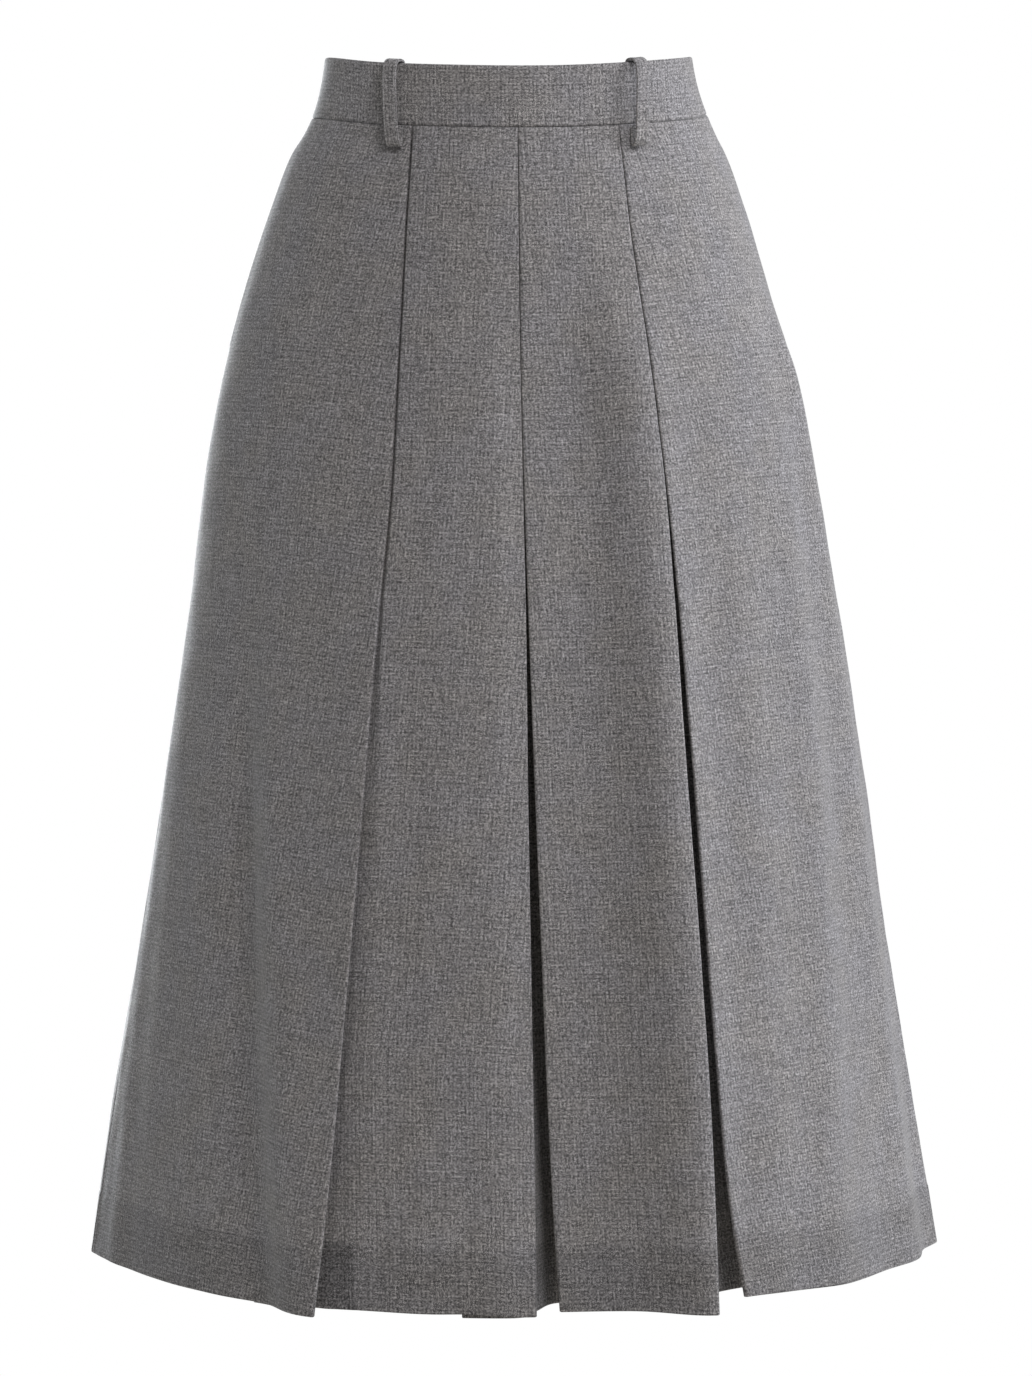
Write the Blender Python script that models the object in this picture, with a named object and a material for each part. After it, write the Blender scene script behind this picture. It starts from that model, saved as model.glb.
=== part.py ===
"""A pleated midi skirt, worn size, hollow, as it stands with its waist held.

The skirt hangs in metres with +Z up and its front towards -Y, so that +X is the wearer's left.
The origin is the middle of the waist, half way up the waistband. Every piece that a maker cuts
and sews is one object: a wall of cloth along a surface, which is worked out from the tables below.

A place on the cloth has two coordinates. The drop is the distance below the waist seam in
millimetres, level all round, and the turn is an angle round the girth, 0 at the centre front,
+90 degrees at the wearer's left side seam and 180 degrees at the centre back.
"""

import math
from collections import namedtuple

import bmesh
import bpy
import numpy as np
from mathutils import Matrix, Quaternion, Vector

MM = 0.001

# Driving sizes, in millimetres.
BAND_HEIGHT = 40.0  # the waistband
BAND_WALL = 2.6  # two layers of cloth and a stiffener between them
CLOTH_WALL = 1.2
LAYER = 2.4  # from the middle of a panel to the middle of the cloth folded in behind it
SEAM_GAP = 0.3
LAPPED = 1.6  # between the middles of two layers that lie on each other
SEAM_SHARE = 0.25  # half of the seam gap, and what the walls lean together at a side seam's corner
WAIST_SEAM_Z = -20.0  # at the side seams
WAIST_DIP_FRONT = 10.0  # the waist sits this much lower at the centre front than at the sides
WAIST_DIP_BACK = 4.0
LENGTH = 760.0  # from the waist seam to the hem
PLEAT_DEPTH_WAIST = 30.0  # from a pleat's fold edge in to its seam with the underlay
PLEAT_DEPTH_HEM = 46.0
PLEAT_OPENS = 240.0  # the drop where the stitching that holds a pleat shut ends
LAP = 8.0  # how far an underlay laps the cloth that it is joined to
UNDERLAY_SAG = 8.0  # how much deeper its middle hangs at the hem
UNDERLAP_SHORT = 14.0  # the right centre panel's end lies this much short of the side panel's
STEP_WIDTH = 20.0  # the strip in which it steps in to pass behind
STEP_IN = LAYER + LAPPED + 0.3  # behind the side panel and its own folded edge
FACET_BOW = 1.25  # 1 would leave the side panels straight in plan at the hem
SIDE_ROUND = 0.85  # 1 would leave a sharp corner in plan at the side seams

LEFT_SIDE, RIGHT_SIDE, BACK = math.radians(90), math.radians(-90), math.radians(180)

# Half widths are from the middle to the wearer's right and left. Flatness goes from 0, an
# ellipse, to 1, a flat front with straight sides, and the plateau is that flat front's half width.
Section = namedtuple(
    "Section", "drop right left front back flat_front flat_back plateau"
)
SECTIONS = (
    Section(-40, 121.5, 122.0, 92.0, 92.0, 0.00, 0.00, 60),
    Section(0, 132.0, 133.0, 98.0, 99.0, 0.00, 0.00, 65),
    Section(30, 146.5, 146.5, 106.0, 112.0, 0.00, 0.00, 70),
    Section(60, 157.0, 157.0, 113.0, 123.0, 0.00, 0.00, 72),
    Section(120, 176.5, 175.5, 125.0, 139.0, 0.05, 0.00, 76),
    Section(180, 192.0, 195.0, 136.0, 147.0, 0.12, 0.05, 82),
    Section(240, 202.5, 207.0, 146.0, 151.0, 0.22, 0.12, 88),
    Section(320, 212.0, 221.0, 158.0, 158.0, 0.38, 0.22, 94),
    Section(420, 227.5, 237.5, 173.0, 168.0, 0.55, 0.32, 101),
    Section(520, 242.5, 252.5, 188.0, 179.0, 0.68, 0.42, 108),
    Section(640, 262.0, 271.5, 206.0, 191.0, 0.80, 0.50, 118),
    Section(760, 280.0, 291.0, 224.0, 203.0, 0.85, 0.55, 128),
)

# Where each fold edge of the front lies, across from the centre front.
Folds = namedtuple(
    "Folds", "drop side_right centre_right centre_left inner_left side_left"
)
FOLDS = (
    Folds(0, -68.5, -0.15, 0.15, 66.5, 66.8),
    Folds(60, -73.0, -0.5, -0.2, 71.9, 72.2),
    Folds(120, -76.8, -0.5, -0.2, 78.8, 79.1),
    Folds(180, -80.6, 0.0, 0.3, 85.6, 85.9),
    Folds(240, -84.5, 0.8, 1.1, 91.6, 91.9),
    Folds(320, -93.0, 1.6, 3.2, 96.5, 99.6),
    Folds(420, -102.2, 1.8, 6.0, 102.4, 107.6),
    Folds(520, -111.4, 2.2, 9.0, 108.8, 114.8),
    Folds(640, -123.0, 2.8, 12.6, 115.4, 123.4),
    Folds(760, -134.5, 2.6, 17.6, 118.6, 135.0),
)

# How each fold edge stands at the hem: how far forward of the skirt's plain form, how much lower
# the hem hangs there, how wide a strip of the panel goes with it, the angle in degrees that the
# cloth behind the edge swings in by, and how much lower than the edge that cloth hangs. All of it
# starts at the drop where the pleats open.
Stand = namedtuple("Stand", "edge forward lower strip swing tail")
STAND = {
    "side_right": Stand("side_right", 4.0, 1.0, 60.0, 4.0, 0.0),
    "under_right": Stand("side_right", -10.0, -2.0, 80.0, 0.0, 0.0),
    "centre_right": Stand("centre_right", 3.0, 0.5, 70.0, 12.0, 2.5),
    "centre_left": Stand("centre_left", 0.0, 0.0, 50.0, 18.0, -2.0),
    "inner_left": Stand("inner_left", 9.0, 1.0, 55.0, 48.0, -4.0),
    "side_left": Stand("side_left", -15.0, -3.5, 90.0, 12.0, -1.0),
}

# Soft folds of the hanging cloth: where they run round the girth, how wide they are, how far
# they stand out at the hem (a trough is negative) and the drop where they start.
SoftFold = namedtuple("SoftFold", "turn spread out starts")
SOFT_FOLDS = (
    SoftFold(-78, 8, -5, 330),
    SoftFold(-66, 8, 5, 300),
    SoftFold(-52, 9, -9, 280),
    SoftFold(-36, 6, 3, 380),
    SoftFold(18, 7, -6, 330),
    SoftFold(47, 8, -3, 360),
    SoftFold(66, 9, 4, 260),
    SoftFold(80, 7, -4, 330),
    SoftFold(104, 8, 6, 300),
    SoftFold(121, 9, -8, 260),
    SoftFold(141, 10, 8, 300),
    SoftFold(160, 9, -7, 340),
    SoftFold(-103, 9, 7, 280),
    SoftFold(-122, 9, -9, 300),
    SoftFold(-139, 9, 7, 270),
    SoftFold(-158, 10, -8, 330),
)

LOOP_WIDTH = 12.0  # a belt loop
LOOP_WALL = 1.6
LOOP_ACROSS = 79.0  # where the loops stand, across from the centre front and back
LOOP_TWIST = 20.0  # how far round the front right one has turned, in degrees

# A pocket bag hangs inside the side seam. It narrows to a rounded end: how much of its width is
# left out on the seam's side and on the pleat's side at each drop.
BagRow = namedtuple("BagRow", "drop seam_side pleat_side")
POCKET_BAG = (
    BagRow(3, 0.03, 0.0),
    BagRow(14, 0.02, 0.0),
    BagRow(32, 0.02, 0.0),
    BagRow(58, 0.02, 0.0),
    BagRow(92, 0.02, 0.0),
    BagRow(135, 0.02, 0.0),
    BagRow(165, 0.02, 0.02),
    BagRow(185, 0.06, 0.05),
    BagRow(205, 0.15, 0.12),
    BagRow(222, 0.27, 0.24),
    BagRow(233, 0.40, 0.40),
)
BAG_WALL = 1.4  # two layers of pocketing
BAG_OUT = -2.3
BAG_CLEAR = 6.0  # from its front edge to the folded cloth of the pleat

# A belt loop's path: how far out from the panels and at what drop. Its top laps the waistband's
# upper edge, and its lower end folds back up into the waist seam.
LoopPoint = namedtuple("LoopPoint", "out drop")
LOOP_PATH = (
    LoopPoint(-1.0, -41.7),
    LoopPoint(3.5, -41.7),
    LoopPoint(8.5, -37.5),
    LoopPoint(9.4, -30.0),
    LoopPoint(9.6, -15.0),
    LoopPoint(9.4, 0.0),
    LoopPoint(8.6, 9.0),
    LoopPoint(7.0, 14.2),
    LoopPoint(5.0, 15.2),
    LoopPoint(3.2, 13.8),
    LoopPoint(2.2, 9.0),
    LoopPoint(1.9, 2.5),
)

# The zip's tape lies behind the centre back seam, further in behind the thicker waistband.
TAPE_DROPS = (-39, -26, -12, -0.45, 2, 14, 32, 58, 92, 135, 185, 200)
TAPE_OUT_BAND = -3.1
TAPE_OUT = -1.85
TAPE_HALF_WIDTH = 12.0
TAPE_WALL = 1.0

# The zip's slider rides on the outside of the band's back seam, and its pull hangs from a bar.
SLIDER_DROP = -33.0
SLIDER_SIZE = (7.0, 2.6, 9.0)
SLIDER_OUT = 0.9  # its inner face
BAR_OUT = 5.8
BAR_RADIUS = 0.7
BAR_HALF_LENGTH = 3.0
PULL_EYE_RADIUS = 1.9
PULL_BORE_RADIUS = 1.0
PULL_SIZE = (3.8, 1.2, 20.0)

ROW_DROPS = (0, 14, 32, 58, 92, 135, 185, 240, 300, 370, 450, 540, 640, 710, 760)
BAND_DROPS = (-BAND_HEIGHT, -26, -12, -1.5 * SEAM_GAP)

CLOTH_COLOUR = (0.150, 0.150, 0.158)
POCKETING_COLOUR = (0.12, 0.12, 0.128)
TAPE_COLOUR = (0.075, 0.075, 0.08)
METAL_COLOUR = (0.42, 0.42, 0.44)


def smooth_step(value):
    value = min(1.0, max(0.0, value))
    return value * value * (3 - 2 * value)


def row_at(table, drop):
    """The table's row at any drop, on a smooth curve through its rows."""
    rows = np.array(table, float)
    drop = min(max(drop, rows[0, 0]), rows[-1, 0])
    at = min(int(np.searchsorted(rows[:, 0], drop, side="right")) - 1, len(rows) - 2)
    slopes = np.gradient(rows, rows[:, 0], axis=0, edge_order=1)
    step = rows[at + 1, 0] - rows[at, 0]
    u = (drop - rows[at, 0]) / step
    return type(table[0])(
        *(
            (2 * u**3 - 3 * u**2 + 1) * rows[at]
            + (u**3 - 2 * u**2 + u) * step * slopes[at]
            + (3 * u**2 - 2 * u**3) * rows[at + 1]
            + (u**3 - u**2) * step * slopes[at + 1]
        )
    )


def plain_form(turn, drop):
    """A point of the skirt's form before any fold stands out from it, in millimetres."""
    section = row_at(SECTIONS, drop)
    sine, cosine = math.sin(turn), math.cos(turn)
    half = section.left if sine > 0 else section.right
    depth, flat = section.front, section.flat_front
    if cosine < 0:
        depth, flat = section.back, section.flat_back
    beyond = max(0.0, (half * abs(sine) - section.plateau) / (half - section.plateau))
    beyond = min(1.0, beyond)
    forward = (1 - flat) * abs(cosine) + flat * (1 - beyond**FACET_BOW) ** SIDE_ROUND
    dip = (WAIST_DIP_FRONT if cosine > 0 else WAIST_DIP_BACK) * cosine**2
    level = 1 - min(max(drop, 0.0), LENGTH) / LENGTH
    return Vector(
        (
            half * sine,
            -depth * forward if cosine > 0 else depth * forward,
            WAIST_SEAM_Z - drop - dip * level,
        )
    )


def outward(turn, drop):
    """The direction straight out of the plain form."""
    across = plain_form(turn + 0.01, drop) - plain_form(turn - 0.01, drop)
    down = plain_form(turn, drop + 3) - plain_form(turn, drop - 3)
    return down.cross(across).normalized()


def turn_at(across, drop):
    """The turn of the front's point this far across from the centre front."""
    section = row_at(SECTIONS, drop)
    return math.asin(across / (section.left if across > 0 else section.right))


def seam_turn(turn, drop, side):
    """A seam's turn, moved half a seam gap to one side of it."""
    reach = (plain_form(turn + 0.01, drop) - plain_form(turn - 0.01, drop)).length / 0.02
    return turn + side * SEAM_SHARE / reach


def opened(drop):
    """How far a pleat has opened: 0 where it is stitched shut, 1 at the hem."""
    return max(0.0, (drop - PLEAT_OPENS) / (LENGTH - PLEAT_OPENS)) ** 1.3


def soft_folds(turn, drop):
    """How far the soft folds stand out here."""
    out = 0.0
    for fold in SOFT_FOLDS:
        away = (math.degrees(turn) - fold.turn) / fold.spread
        grown = smooth_step((drop - fold.starts) / (LENGTH - fold.starts))
        out += fold.out * grown * math.exp(-away * away)
    return out


# A place on a piece at one drop: its turn, how far it lies out from the plain form, how far
# forward it is moved from there, and how much lower.
Place = namedtuple("Place", "turn out forward lower", defaults=(0.0, 0.0, 0.0))


def cloth_point(place, drop):
    """The point of this place, in metres."""
    point = plain_form(place.turn, drop) + outward(place.turn, drop) * place.out
    return (point - Vector((0, place.forward, place.lower))) * MM


def near_edge(edge_name, away, drop):
    """What a fold edge's stand adds this far from the edge, as (forward, lower)."""
    stand = STAND[edge_name]
    part = opened(drop) * (1 - smooth_step(away / stand.strip))
    return stand.forward * part, stand.lower * part


def fold_round(edge_name, direction, drop, steps=4):
    """Places round a fold edge, from the panel to the cloth folded in behind it."""
    edge = getattr(row_at(FOLDS, drop), edge_name)
    forward, lower = near_edge(edge_name, 0, drop)
    out = soft_folds(turn_at(edge, drop), drop)
    radius = LAYER / 2
    centre = edge - direction * (radius + CLOTH_WALL / 2)
    places = []
    for angle in np.linspace(0, math.pi, steps + 1):
        turn = turn_at(centre + direction * radius * math.sin(angle), drop)
        places.append(Place(turn, out - radius * (1 - math.cos(angle)), forward, lower))
    return places


def pleat_depth(drop):
    """How far the cloth runs back from a fold edge to the pleat's inner seam."""
    return PLEAT_DEPTH_WAIST + (PLEAT_DEPTH_HEM - PLEAT_DEPTH_WAIST) * drop / LENGTH


def behind(edge_name, direction, reach, drop):
    """The place this far back from a fold edge on the cloth folded in behind it."""
    stand = STAND[edge_name]
    edge = getattr(row_at(FOLDS, drop), edge_name)
    forward, lower = near_edge(edge_name, 0, drop)
    swing = math.radians(stand.swing) * opened(drop)
    across = reach * math.cos(swing) + CLOTH_WALL / 2
    out = soft_folds(turn_at(edge, drop), drop) - LAYER - reach * math.sin(swing)
    lower += stand.tail * opened(drop)
    return Place(turn_at(edge - direction * across, drop), out, forward, lower)


def folded_edge(edge_name, direction, drop):
    """Places from a panel's fold edge back to the pleat's inner seam."""
    depth = pleat_depth(drop)
    places = fold_round(edge_name, direction, drop)
    for reach in (depth * 0.3, depth - LAP, depth):
        places.append(behind(edge_name, direction, reach, drop))
    return places


def between(start, stop, count):
    """Turns from start to stop, both left out."""
    return [start + (stop - start) * (i + 1) / (count + 1) for i in range(count)]


def panel_place(turn, drop, edges, step=0.0):
    """A place on the flat of a panel that ends at the named fold edges."""
    across = plain_form(turn, drop).x
    forward = lower = 0.0
    for edge_name in edges:
        away = abs(across - getattr(row_at(FOLDS, drop), STAND[edge_name].edge))
        more_forward, more_lower = near_edge(edge_name, away, drop)
        forward += more_forward
        lower += more_lower
    return Place(turn, soft_folds(turn, drop) - step, forward, lower)


def front_side_row(side, edge_name, drop, columns=11):
    """A side panel of the front, from its side seam to its fold edge and back behind it."""
    fold = folded_edge(edge_name, -side, drop)
    seam = seam_turn(side * LEFT_SIDE, drop, -side)
    turns = [seam, *between(seam, fold[0].turn, columns)]
    return [panel_place(turn, drop, [edge_name]) for turn in turns] + fold


def front_centre_left_row(drop, columns=7):
    """The centre panel on the wearer's left, folded back behind itself at both edges."""
    first = folded_edge("centre_left", -1, drop)[::-1]
    last = folded_edge("inner_left", 1, drop)
    turns = between(first[-1].turn, last[0].turn, columns)
    edges = ("centre_left", "inner_left")
    return first + [panel_place(turn, drop, edges) for turn in turns] + last


def front_centre_right_row(drop, columns=6):
    """The centre panel on the wearer's right: it runs on flat behind the side panel's fold edge."""
    edge = row_at(FOLDS, drop).side_right
    last = folded_edge("centre_right", 1, drop)
    end = UNDERLAP_SHORT - pleat_depth(drop)
    row = []
    turns = [turn_at(edge + reach, drop) for reach in (end, end + LAP, 3.0, 9.0, 15.0)]
    for turn in turns + between(turns[-1], last[0].turn, columns):
        beyond = plain_form(turn, drop).x - edge
        step = STEP_IN * (1 - smooth_step((beyond - 2.0) / STEP_WIDTH))
        row.append(panel_place(turn, drop, ("under_right", "centre_right"), step))
    return row + last


def lapped(end, inner):
    """Two points behind a strip of cloth that ends in a pleat's inner seam, for what laps it."""
    along = (end - inner).normalized()
    back = Vector((-along.y, along.x, 0)).normalized()
    back *= math.copysign(LAPPED * MM, back.y)
    return end + along * MM + back, inner + back * 1.8


def underlay_row(first, last, drop):
    """A pleat's underlay between two strips, each given by its end's place and its inner place."""
    ends = [lapped(*(cloth_point(place, drop) for place in strip)) for strip in (first, last)]
    near, far = ends[0][1], ends[1][1]
    turns = first[1].turn, last[1].turn
    flat = [plain_form(turn, drop) for turn in turns]
    middle = []
    for share in (0.2, 0.4, 0.6, 0.8):
        point = near.lerp(far, share)
        turn = turns[0] + (turns[1] - turns[0]) * share
        bulge = plain_form(turn, drop) - flat[0].lerp(flat[1], share)
        sag = Vector((0, UNDERLAY_SAG * math.sin(math.pi * share), 0))
        opening = opened(drop)
        middle.append(point + (bulge * (1 - opening) + sag * opening) * MM)
    return [*ends[0], *middle, *reversed(ends[1])]


def underlay_centre_row(drop):
    return underlay_row(
        front_centre_right_row(drop)[: -3 : -1], front_centre_left_row(drop)[:2], drop
    )


def underlay_left_row(drop):
    return underlay_row(
        front_centre_left_row(drop)[: -3 : -1], front_side_row(1, "side_left", drop)[: -3 : -1], drop
    )


def underlay_right_row(drop):
    """From the side panel's folded edge to the end of the centre panel, which is nearly below it."""
    strips = front_side_row(-1, "side_right", drop)[: -3 : -1], front_centre_right_row(drop)[:2]
    ends = [lapped(*(cloth_point(place, drop) for place in strip)) for strip in strips]
    return [*ends[0], *ends[1]]


def back_row(side, drop, columns=12):
    """A back panel, from its side seam to the centre back."""
    seam = seam_turn(side * LEFT_SIDE, drop, side)
    centre = seam_turn(side * BACK, drop, -side)
    turns = [seam, *between(seam, centre, columns), centre]
    return [Place(turn, soft_folds(turn, drop)) for turn in turns]


def material(name, colour, roughness, metallic=0.0):
    made = bpy.data.materials.new(name)
    made.use_nodes = True
    shader = made.node_tree.nodes["Principled BSDF"]
    shader.inputs["Base Color"].default_value = (*colour, 1.0)
    shader.inputs["Roughness"].default_value = roughness
    shader.inputs["Metallic"].default_value = metallic
    return made


def new_object(name, mesh, finish):
    made = bpy.data.objects.new(name, mesh)
    bpy.context.scene.collection.objects.link(made)
    made.data.materials.append(finish)
    return made


def cloth_wall(name, rows, finish, wall=CLOTH_WALL):
    """A wall of cloth along rows of points, each row the same number of points from left to right."""
    columns = len(rows[0])
    points = [point for row in rows for point in row]
    faces = [
        (r * columns + c, (r + 1) * columns + c, (r + 1) * columns + c + 1, r * columns + c + 1)
        for r in range(len(rows) - 1)
        for c in range(columns - 1)
    ]
    mesh = bpy.data.meshes.new(name)
    mesh.from_pydata(points, [], faces)
    made = new_object(name, mesh, finish)
    solid = made.modifiers.new("wall", "SOLIDIFY")
    solid.thickness = wall * MM
    solid.offset = 0
    solid.use_even_offset = True
    return made


def panel(name, row_of, finish):
    """A panel below the waist seam, from the function that gives its places at a drop."""
    rows = [[cloth_point(place, drop) for place in row_of(drop)] for drop in ROW_DROPS]
    return cloth_wall(name, rows, finish)


def underlay(name, row_of, finish):
    """An underlay, from the function that gives its points at a drop."""
    return cloth_wall(name, [row_of(drop) for drop in ROW_DROPS], finish)


def band(name, start_side, stop_side, count, finish):
    """A waistband piece between two seams of the girth, each given as (turn, side of its gap)."""
    rows = []
    out = (CLOTH_WALL - BAND_WALL) / 2  # its outer face is flush with the panels below
    for drop in BAND_DROPS:
        start = seam_turn(start_side[0], drop, start_side[1])
        stop = seam_turn(stop_side[0], drop, stop_side[1])
        turns = [start, *between(start, stop, count), stop]
        rows.append([cloth_point(Place(turn, out), drop) for turn in turns])
    return cloth_wall(name, rows, finish, BAND_WALL)


def pocket_bag(name, side, edge_name, finish):
    """A pocket bag, from behind its side seam to the cloth folded in at the nearest pleat."""
    rows = []
    for place in POCKET_BAG:
        drop = place.drop
        reach = pleat_depth(drop) + BAG_CLEAR
        front = turn_at(getattr(row_at(FOLDS, drop), edge_name) + side * reach, drop)
        seam = side * LEFT_SIDE
        start = seam + (front - seam) * place.seam_side
        stop = front - (front - seam) * place.pleat_side
        rows.append([cloth_point(Place(turn, BAG_OUT), drop) for turn in np.linspace(start, stop, 7)])
    return cloth_wall(name, rows, finish, BAG_WALL)


def belt_loop(name, side, rear, twist, finish):
    """A belt loop: one folded strip from the waistband's upper edge down and back into the seam."""
    rows = []
    for place in LOOP_PATH:
        turn = turn_at(side * LOOP_ACROSS, place.drop)
        if rear:
            turn = side * BACK - turn
        middle = cloth_point(Place(turn, place.out), place.drop)
        around = plain_form(turn + 0.01, -BAND_HEIGHT / 2) - plain_form(turn - 0.01, -BAND_HEIGHT / 2)
        turned = math.radians(twist) * smooth_step((place.out - 2.5) / 5)
        across = Vector((around.x, around.y, 0)).normalized()
        across.rotate(Quaternion((0, 0, 1), turned))
        reach = across * LOOP_WIDTH / 2 * MM
        rows.append([middle - reach, middle + reach])
    return cloth_wall(name, rows, finish, LOOP_WALL)


def zip_tape(name, finish):
    rows = []
    for drop in TAPE_DROPS:
        reach = (plain_form(BACK + 0.01, drop) - plain_form(BACK - 0.01, drop)).length
        half = TAPE_HALF_WIDTH * 0.02 / reach
        out = TAPE_OUT_BAND + (TAPE_OUT - TAPE_OUT_BAND) * smooth_step((drop - 1) / 13)
        turns = np.linspace(BACK - half, BACK + half, 5)
        rows.append([cloth_point(Place(turn, out), drop) for turn in turns])
    return cloth_wall(name, rows, finish, TAPE_WALL)


def metal(name, origin, tilt, shapes, finish):
    """Blocks and rods along X joined to one body about an origin; the last one is cut out if so named."""
    made = new_object(name, bpy.data.meshes.new(name), finish)
    made.location = origin
    for number, (kind, centre, size) in enumerate(shapes):
        shape = bmesh.new()
        if kind == "block":
            bmesh.ops.create_cube(shape, size=1, matrix=Matrix.Diagonal((*size, 1)))
        else:
            bmesh.ops.create_cone(
                shape, cap_ends=True, segments=24, radius1=size[0], radius2=size[0], depth=size[1],
                matrix=Matrix.Rotation(math.radians(90), 4, "Y"),
            )
            for face in shape.faces:
                face.smooth = len(face.verts) == 4
        move = Matrix.Rotation(tilt, 4, "X") @ Matrix.Translation(centre)
        bmesh.ops.transform(shape, matrix=Matrix.Scale(MM, 4) @ move, verts=shape.verts)
        if number == 0:
            shape.to_mesh(made.data)
            shape.free()
            continue
        mesh = bpy.data.meshes.new(f"{name} shape {number}")
        shape.to_mesh(mesh)
        shape.free()
        other = new_object(mesh.name, mesh, finish)
        other.location = origin
        other.hide_render = True
        other.hide_viewport = True
        join = made.modifiers.new(mesh.name, "BOOLEAN")
        join.operation = "DIFFERENCE" if kind == "bore" else "UNION"
        join.solver = "EXACT"
        join.object = other
    return made


bpy.ops.object.select_all(action="DESELECT")
for leftover in list(bpy.data.objects):
    bpy.data.objects.remove(leftover)

cloth = material("grey wool suiting", CLOTH_COLOUR, 0.9)
panel("front_side_right", lambda drop: front_side_row(-1, "side_right", drop), cloth)
panel("front_centre_right", front_centre_right_row, cloth)
panel("front_centre_left", front_centre_left_row, cloth)
panel("front_side_left", lambda drop: list(reversed(front_side_row(1, "side_left", drop))), cloth)
underlay("pleat_underlay_right", underlay_right_row, cloth)
underlay("pleat_underlay_centre", underlay_centre_row, cloth)
underlay("pleat_underlay_left", underlay_left_row, cloth)
panel("back_left", lambda drop: back_row(1, drop), cloth)
panel("back_right", lambda drop: list(reversed(back_row(-1, drop))), cloth)
band("waistband_front", (RIGHT_SIDE, 1), (LEFT_SIDE, -1), 18, cloth)
band("waistband_back_left", (LEFT_SIDE, 1), (BACK, -1), 9, cloth)
band("waistband_back_right", (-BACK, 1), (RIGHT_SIDE, -1), 9, cloth)
belt_loop("belt_loop_front_right", -1, False, LOOP_TWIST, cloth)
belt_loop("belt_loop_front_left", 1, False, 0, cloth)
belt_loop("belt_loop_back_right", -1, True, 0, cloth)
belt_loop("belt_loop_back_left", 1, True, 0, cloth)

lining = material("pocketing", POCKETING_COLOUR, 0.7)
pocket_bag("pocket_bag_right", -1, "side_right", lining)
pocket_bag("pocket_bag_left", 1, "side_left", lining)

tape = material("zip tape", TAPE_COLOUR, 0.85)
zip_tape("zip_tape", tape)

steel = material("dark nickel", METAL_COLOUR, 0.35, 1.0)
band_rise = plain_form(BACK, SLIDER_DROP + 5) - plain_form(BACK, SLIDER_DROP - 5)
slider_tilt = math.atan2(band_rise.y, -band_rise.z)
out = outward(BACK, SLIDER_DROP)
bar = (plain_form(BACK, SLIDER_DROP) + out * BAR_OUT) * MM
width, thickness, height = SLIDER_SIZE
body_in = SLIDER_OUT - BAR_OUT
post = BAR_RADIUS + 0.3
post_at = BAR_HALF_LENGTH - 0.3
post_shape = (1.0, post - (body_in + thickness) + 0.3, 2 * post)
metal(
    "zip_slider",
    bar,
    slider_tilt,
    [
        ("block", (0, body_in + thickness / 2, 0), SLIDER_SIZE),
        ("block", (post_at, post - post_shape[1] / 2, 0), post_shape),
        ("block", (-post_at, post - post_shape[1] / 2, 0), post_shape),
        ("rod", (0, 0, 0), (BAR_RADIUS, 2 * BAR_HALF_LENGTH - 1)),
    ],
    steel,
)
metal(
    "zip_pull",
    bar,
    0.0,
    [
        ("block", (0, 0, -PULL_SIZE[2] / 2 - PULL_BORE_RADIUS), PULL_SIZE),
        ("rod", (0, 0, 0), (PULL_EYE_RADIUS, 3.2)),
        ("bore", (0, 0, 0), (PULL_BORE_RADIUS, 6)),
    ],
    steel,
)
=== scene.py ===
"""Looks of a pleated midi skirt in grey wool suiting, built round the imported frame.

The frame is in metres, with +Z up out of the waist, the skirt's front towards -Y and the wearer's
left towards +X. Cloth is worked out in millimetres from two coordinates: the drop below the waist
seam, and the turn round the girth, 0 at the centre front and +90 degrees at the left side seam.
"""

import math
from collections import namedtuple
from functools import lru_cache

import bpy
import numpy as np
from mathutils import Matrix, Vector


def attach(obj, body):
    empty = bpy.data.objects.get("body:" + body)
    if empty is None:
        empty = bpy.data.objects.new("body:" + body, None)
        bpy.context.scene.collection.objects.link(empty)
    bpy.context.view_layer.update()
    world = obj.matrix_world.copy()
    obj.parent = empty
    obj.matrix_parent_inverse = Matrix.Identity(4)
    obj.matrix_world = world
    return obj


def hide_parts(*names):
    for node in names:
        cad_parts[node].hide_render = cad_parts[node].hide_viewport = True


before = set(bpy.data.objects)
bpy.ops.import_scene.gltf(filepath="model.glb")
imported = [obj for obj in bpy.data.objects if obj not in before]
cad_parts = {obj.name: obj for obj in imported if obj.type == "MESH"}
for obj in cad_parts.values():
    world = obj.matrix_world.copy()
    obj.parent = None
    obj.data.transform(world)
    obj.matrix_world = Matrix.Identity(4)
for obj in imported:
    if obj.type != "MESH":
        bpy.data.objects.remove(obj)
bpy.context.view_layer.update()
MM = 0.001
bpy.ops.object.select_all(action="DESELECT")


# ---------------------------------------------------------------------------------------------
# The studio. The skirt is seen from the front, at the height of its middle, against white. A large
# soft light stands high in front, others stand at both sides and behind, and a white room lights it
# from all round.
# ---------------------------------------------------------------------------------------------

bpy.ops.object.camera_add(
    location=(-0.2015, -3.1937, -0.18),
    rotation=(math.radians(90 - 3.933), 0, math.radians(-3.7)),
)
camera = bpy.context.object
camera.data.sensor_fit = "VERTICAL"
camera.data.sensor_height = 36
camera.data.lens = 124.95
bpy.context.scene.camera = camera
bpy.context.scene.view_settings.view_transform = "Standard"

MIDDLE = Vector((0.0, 0.0, -0.40))
LIGHT_DISTANCE = 3.0


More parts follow.
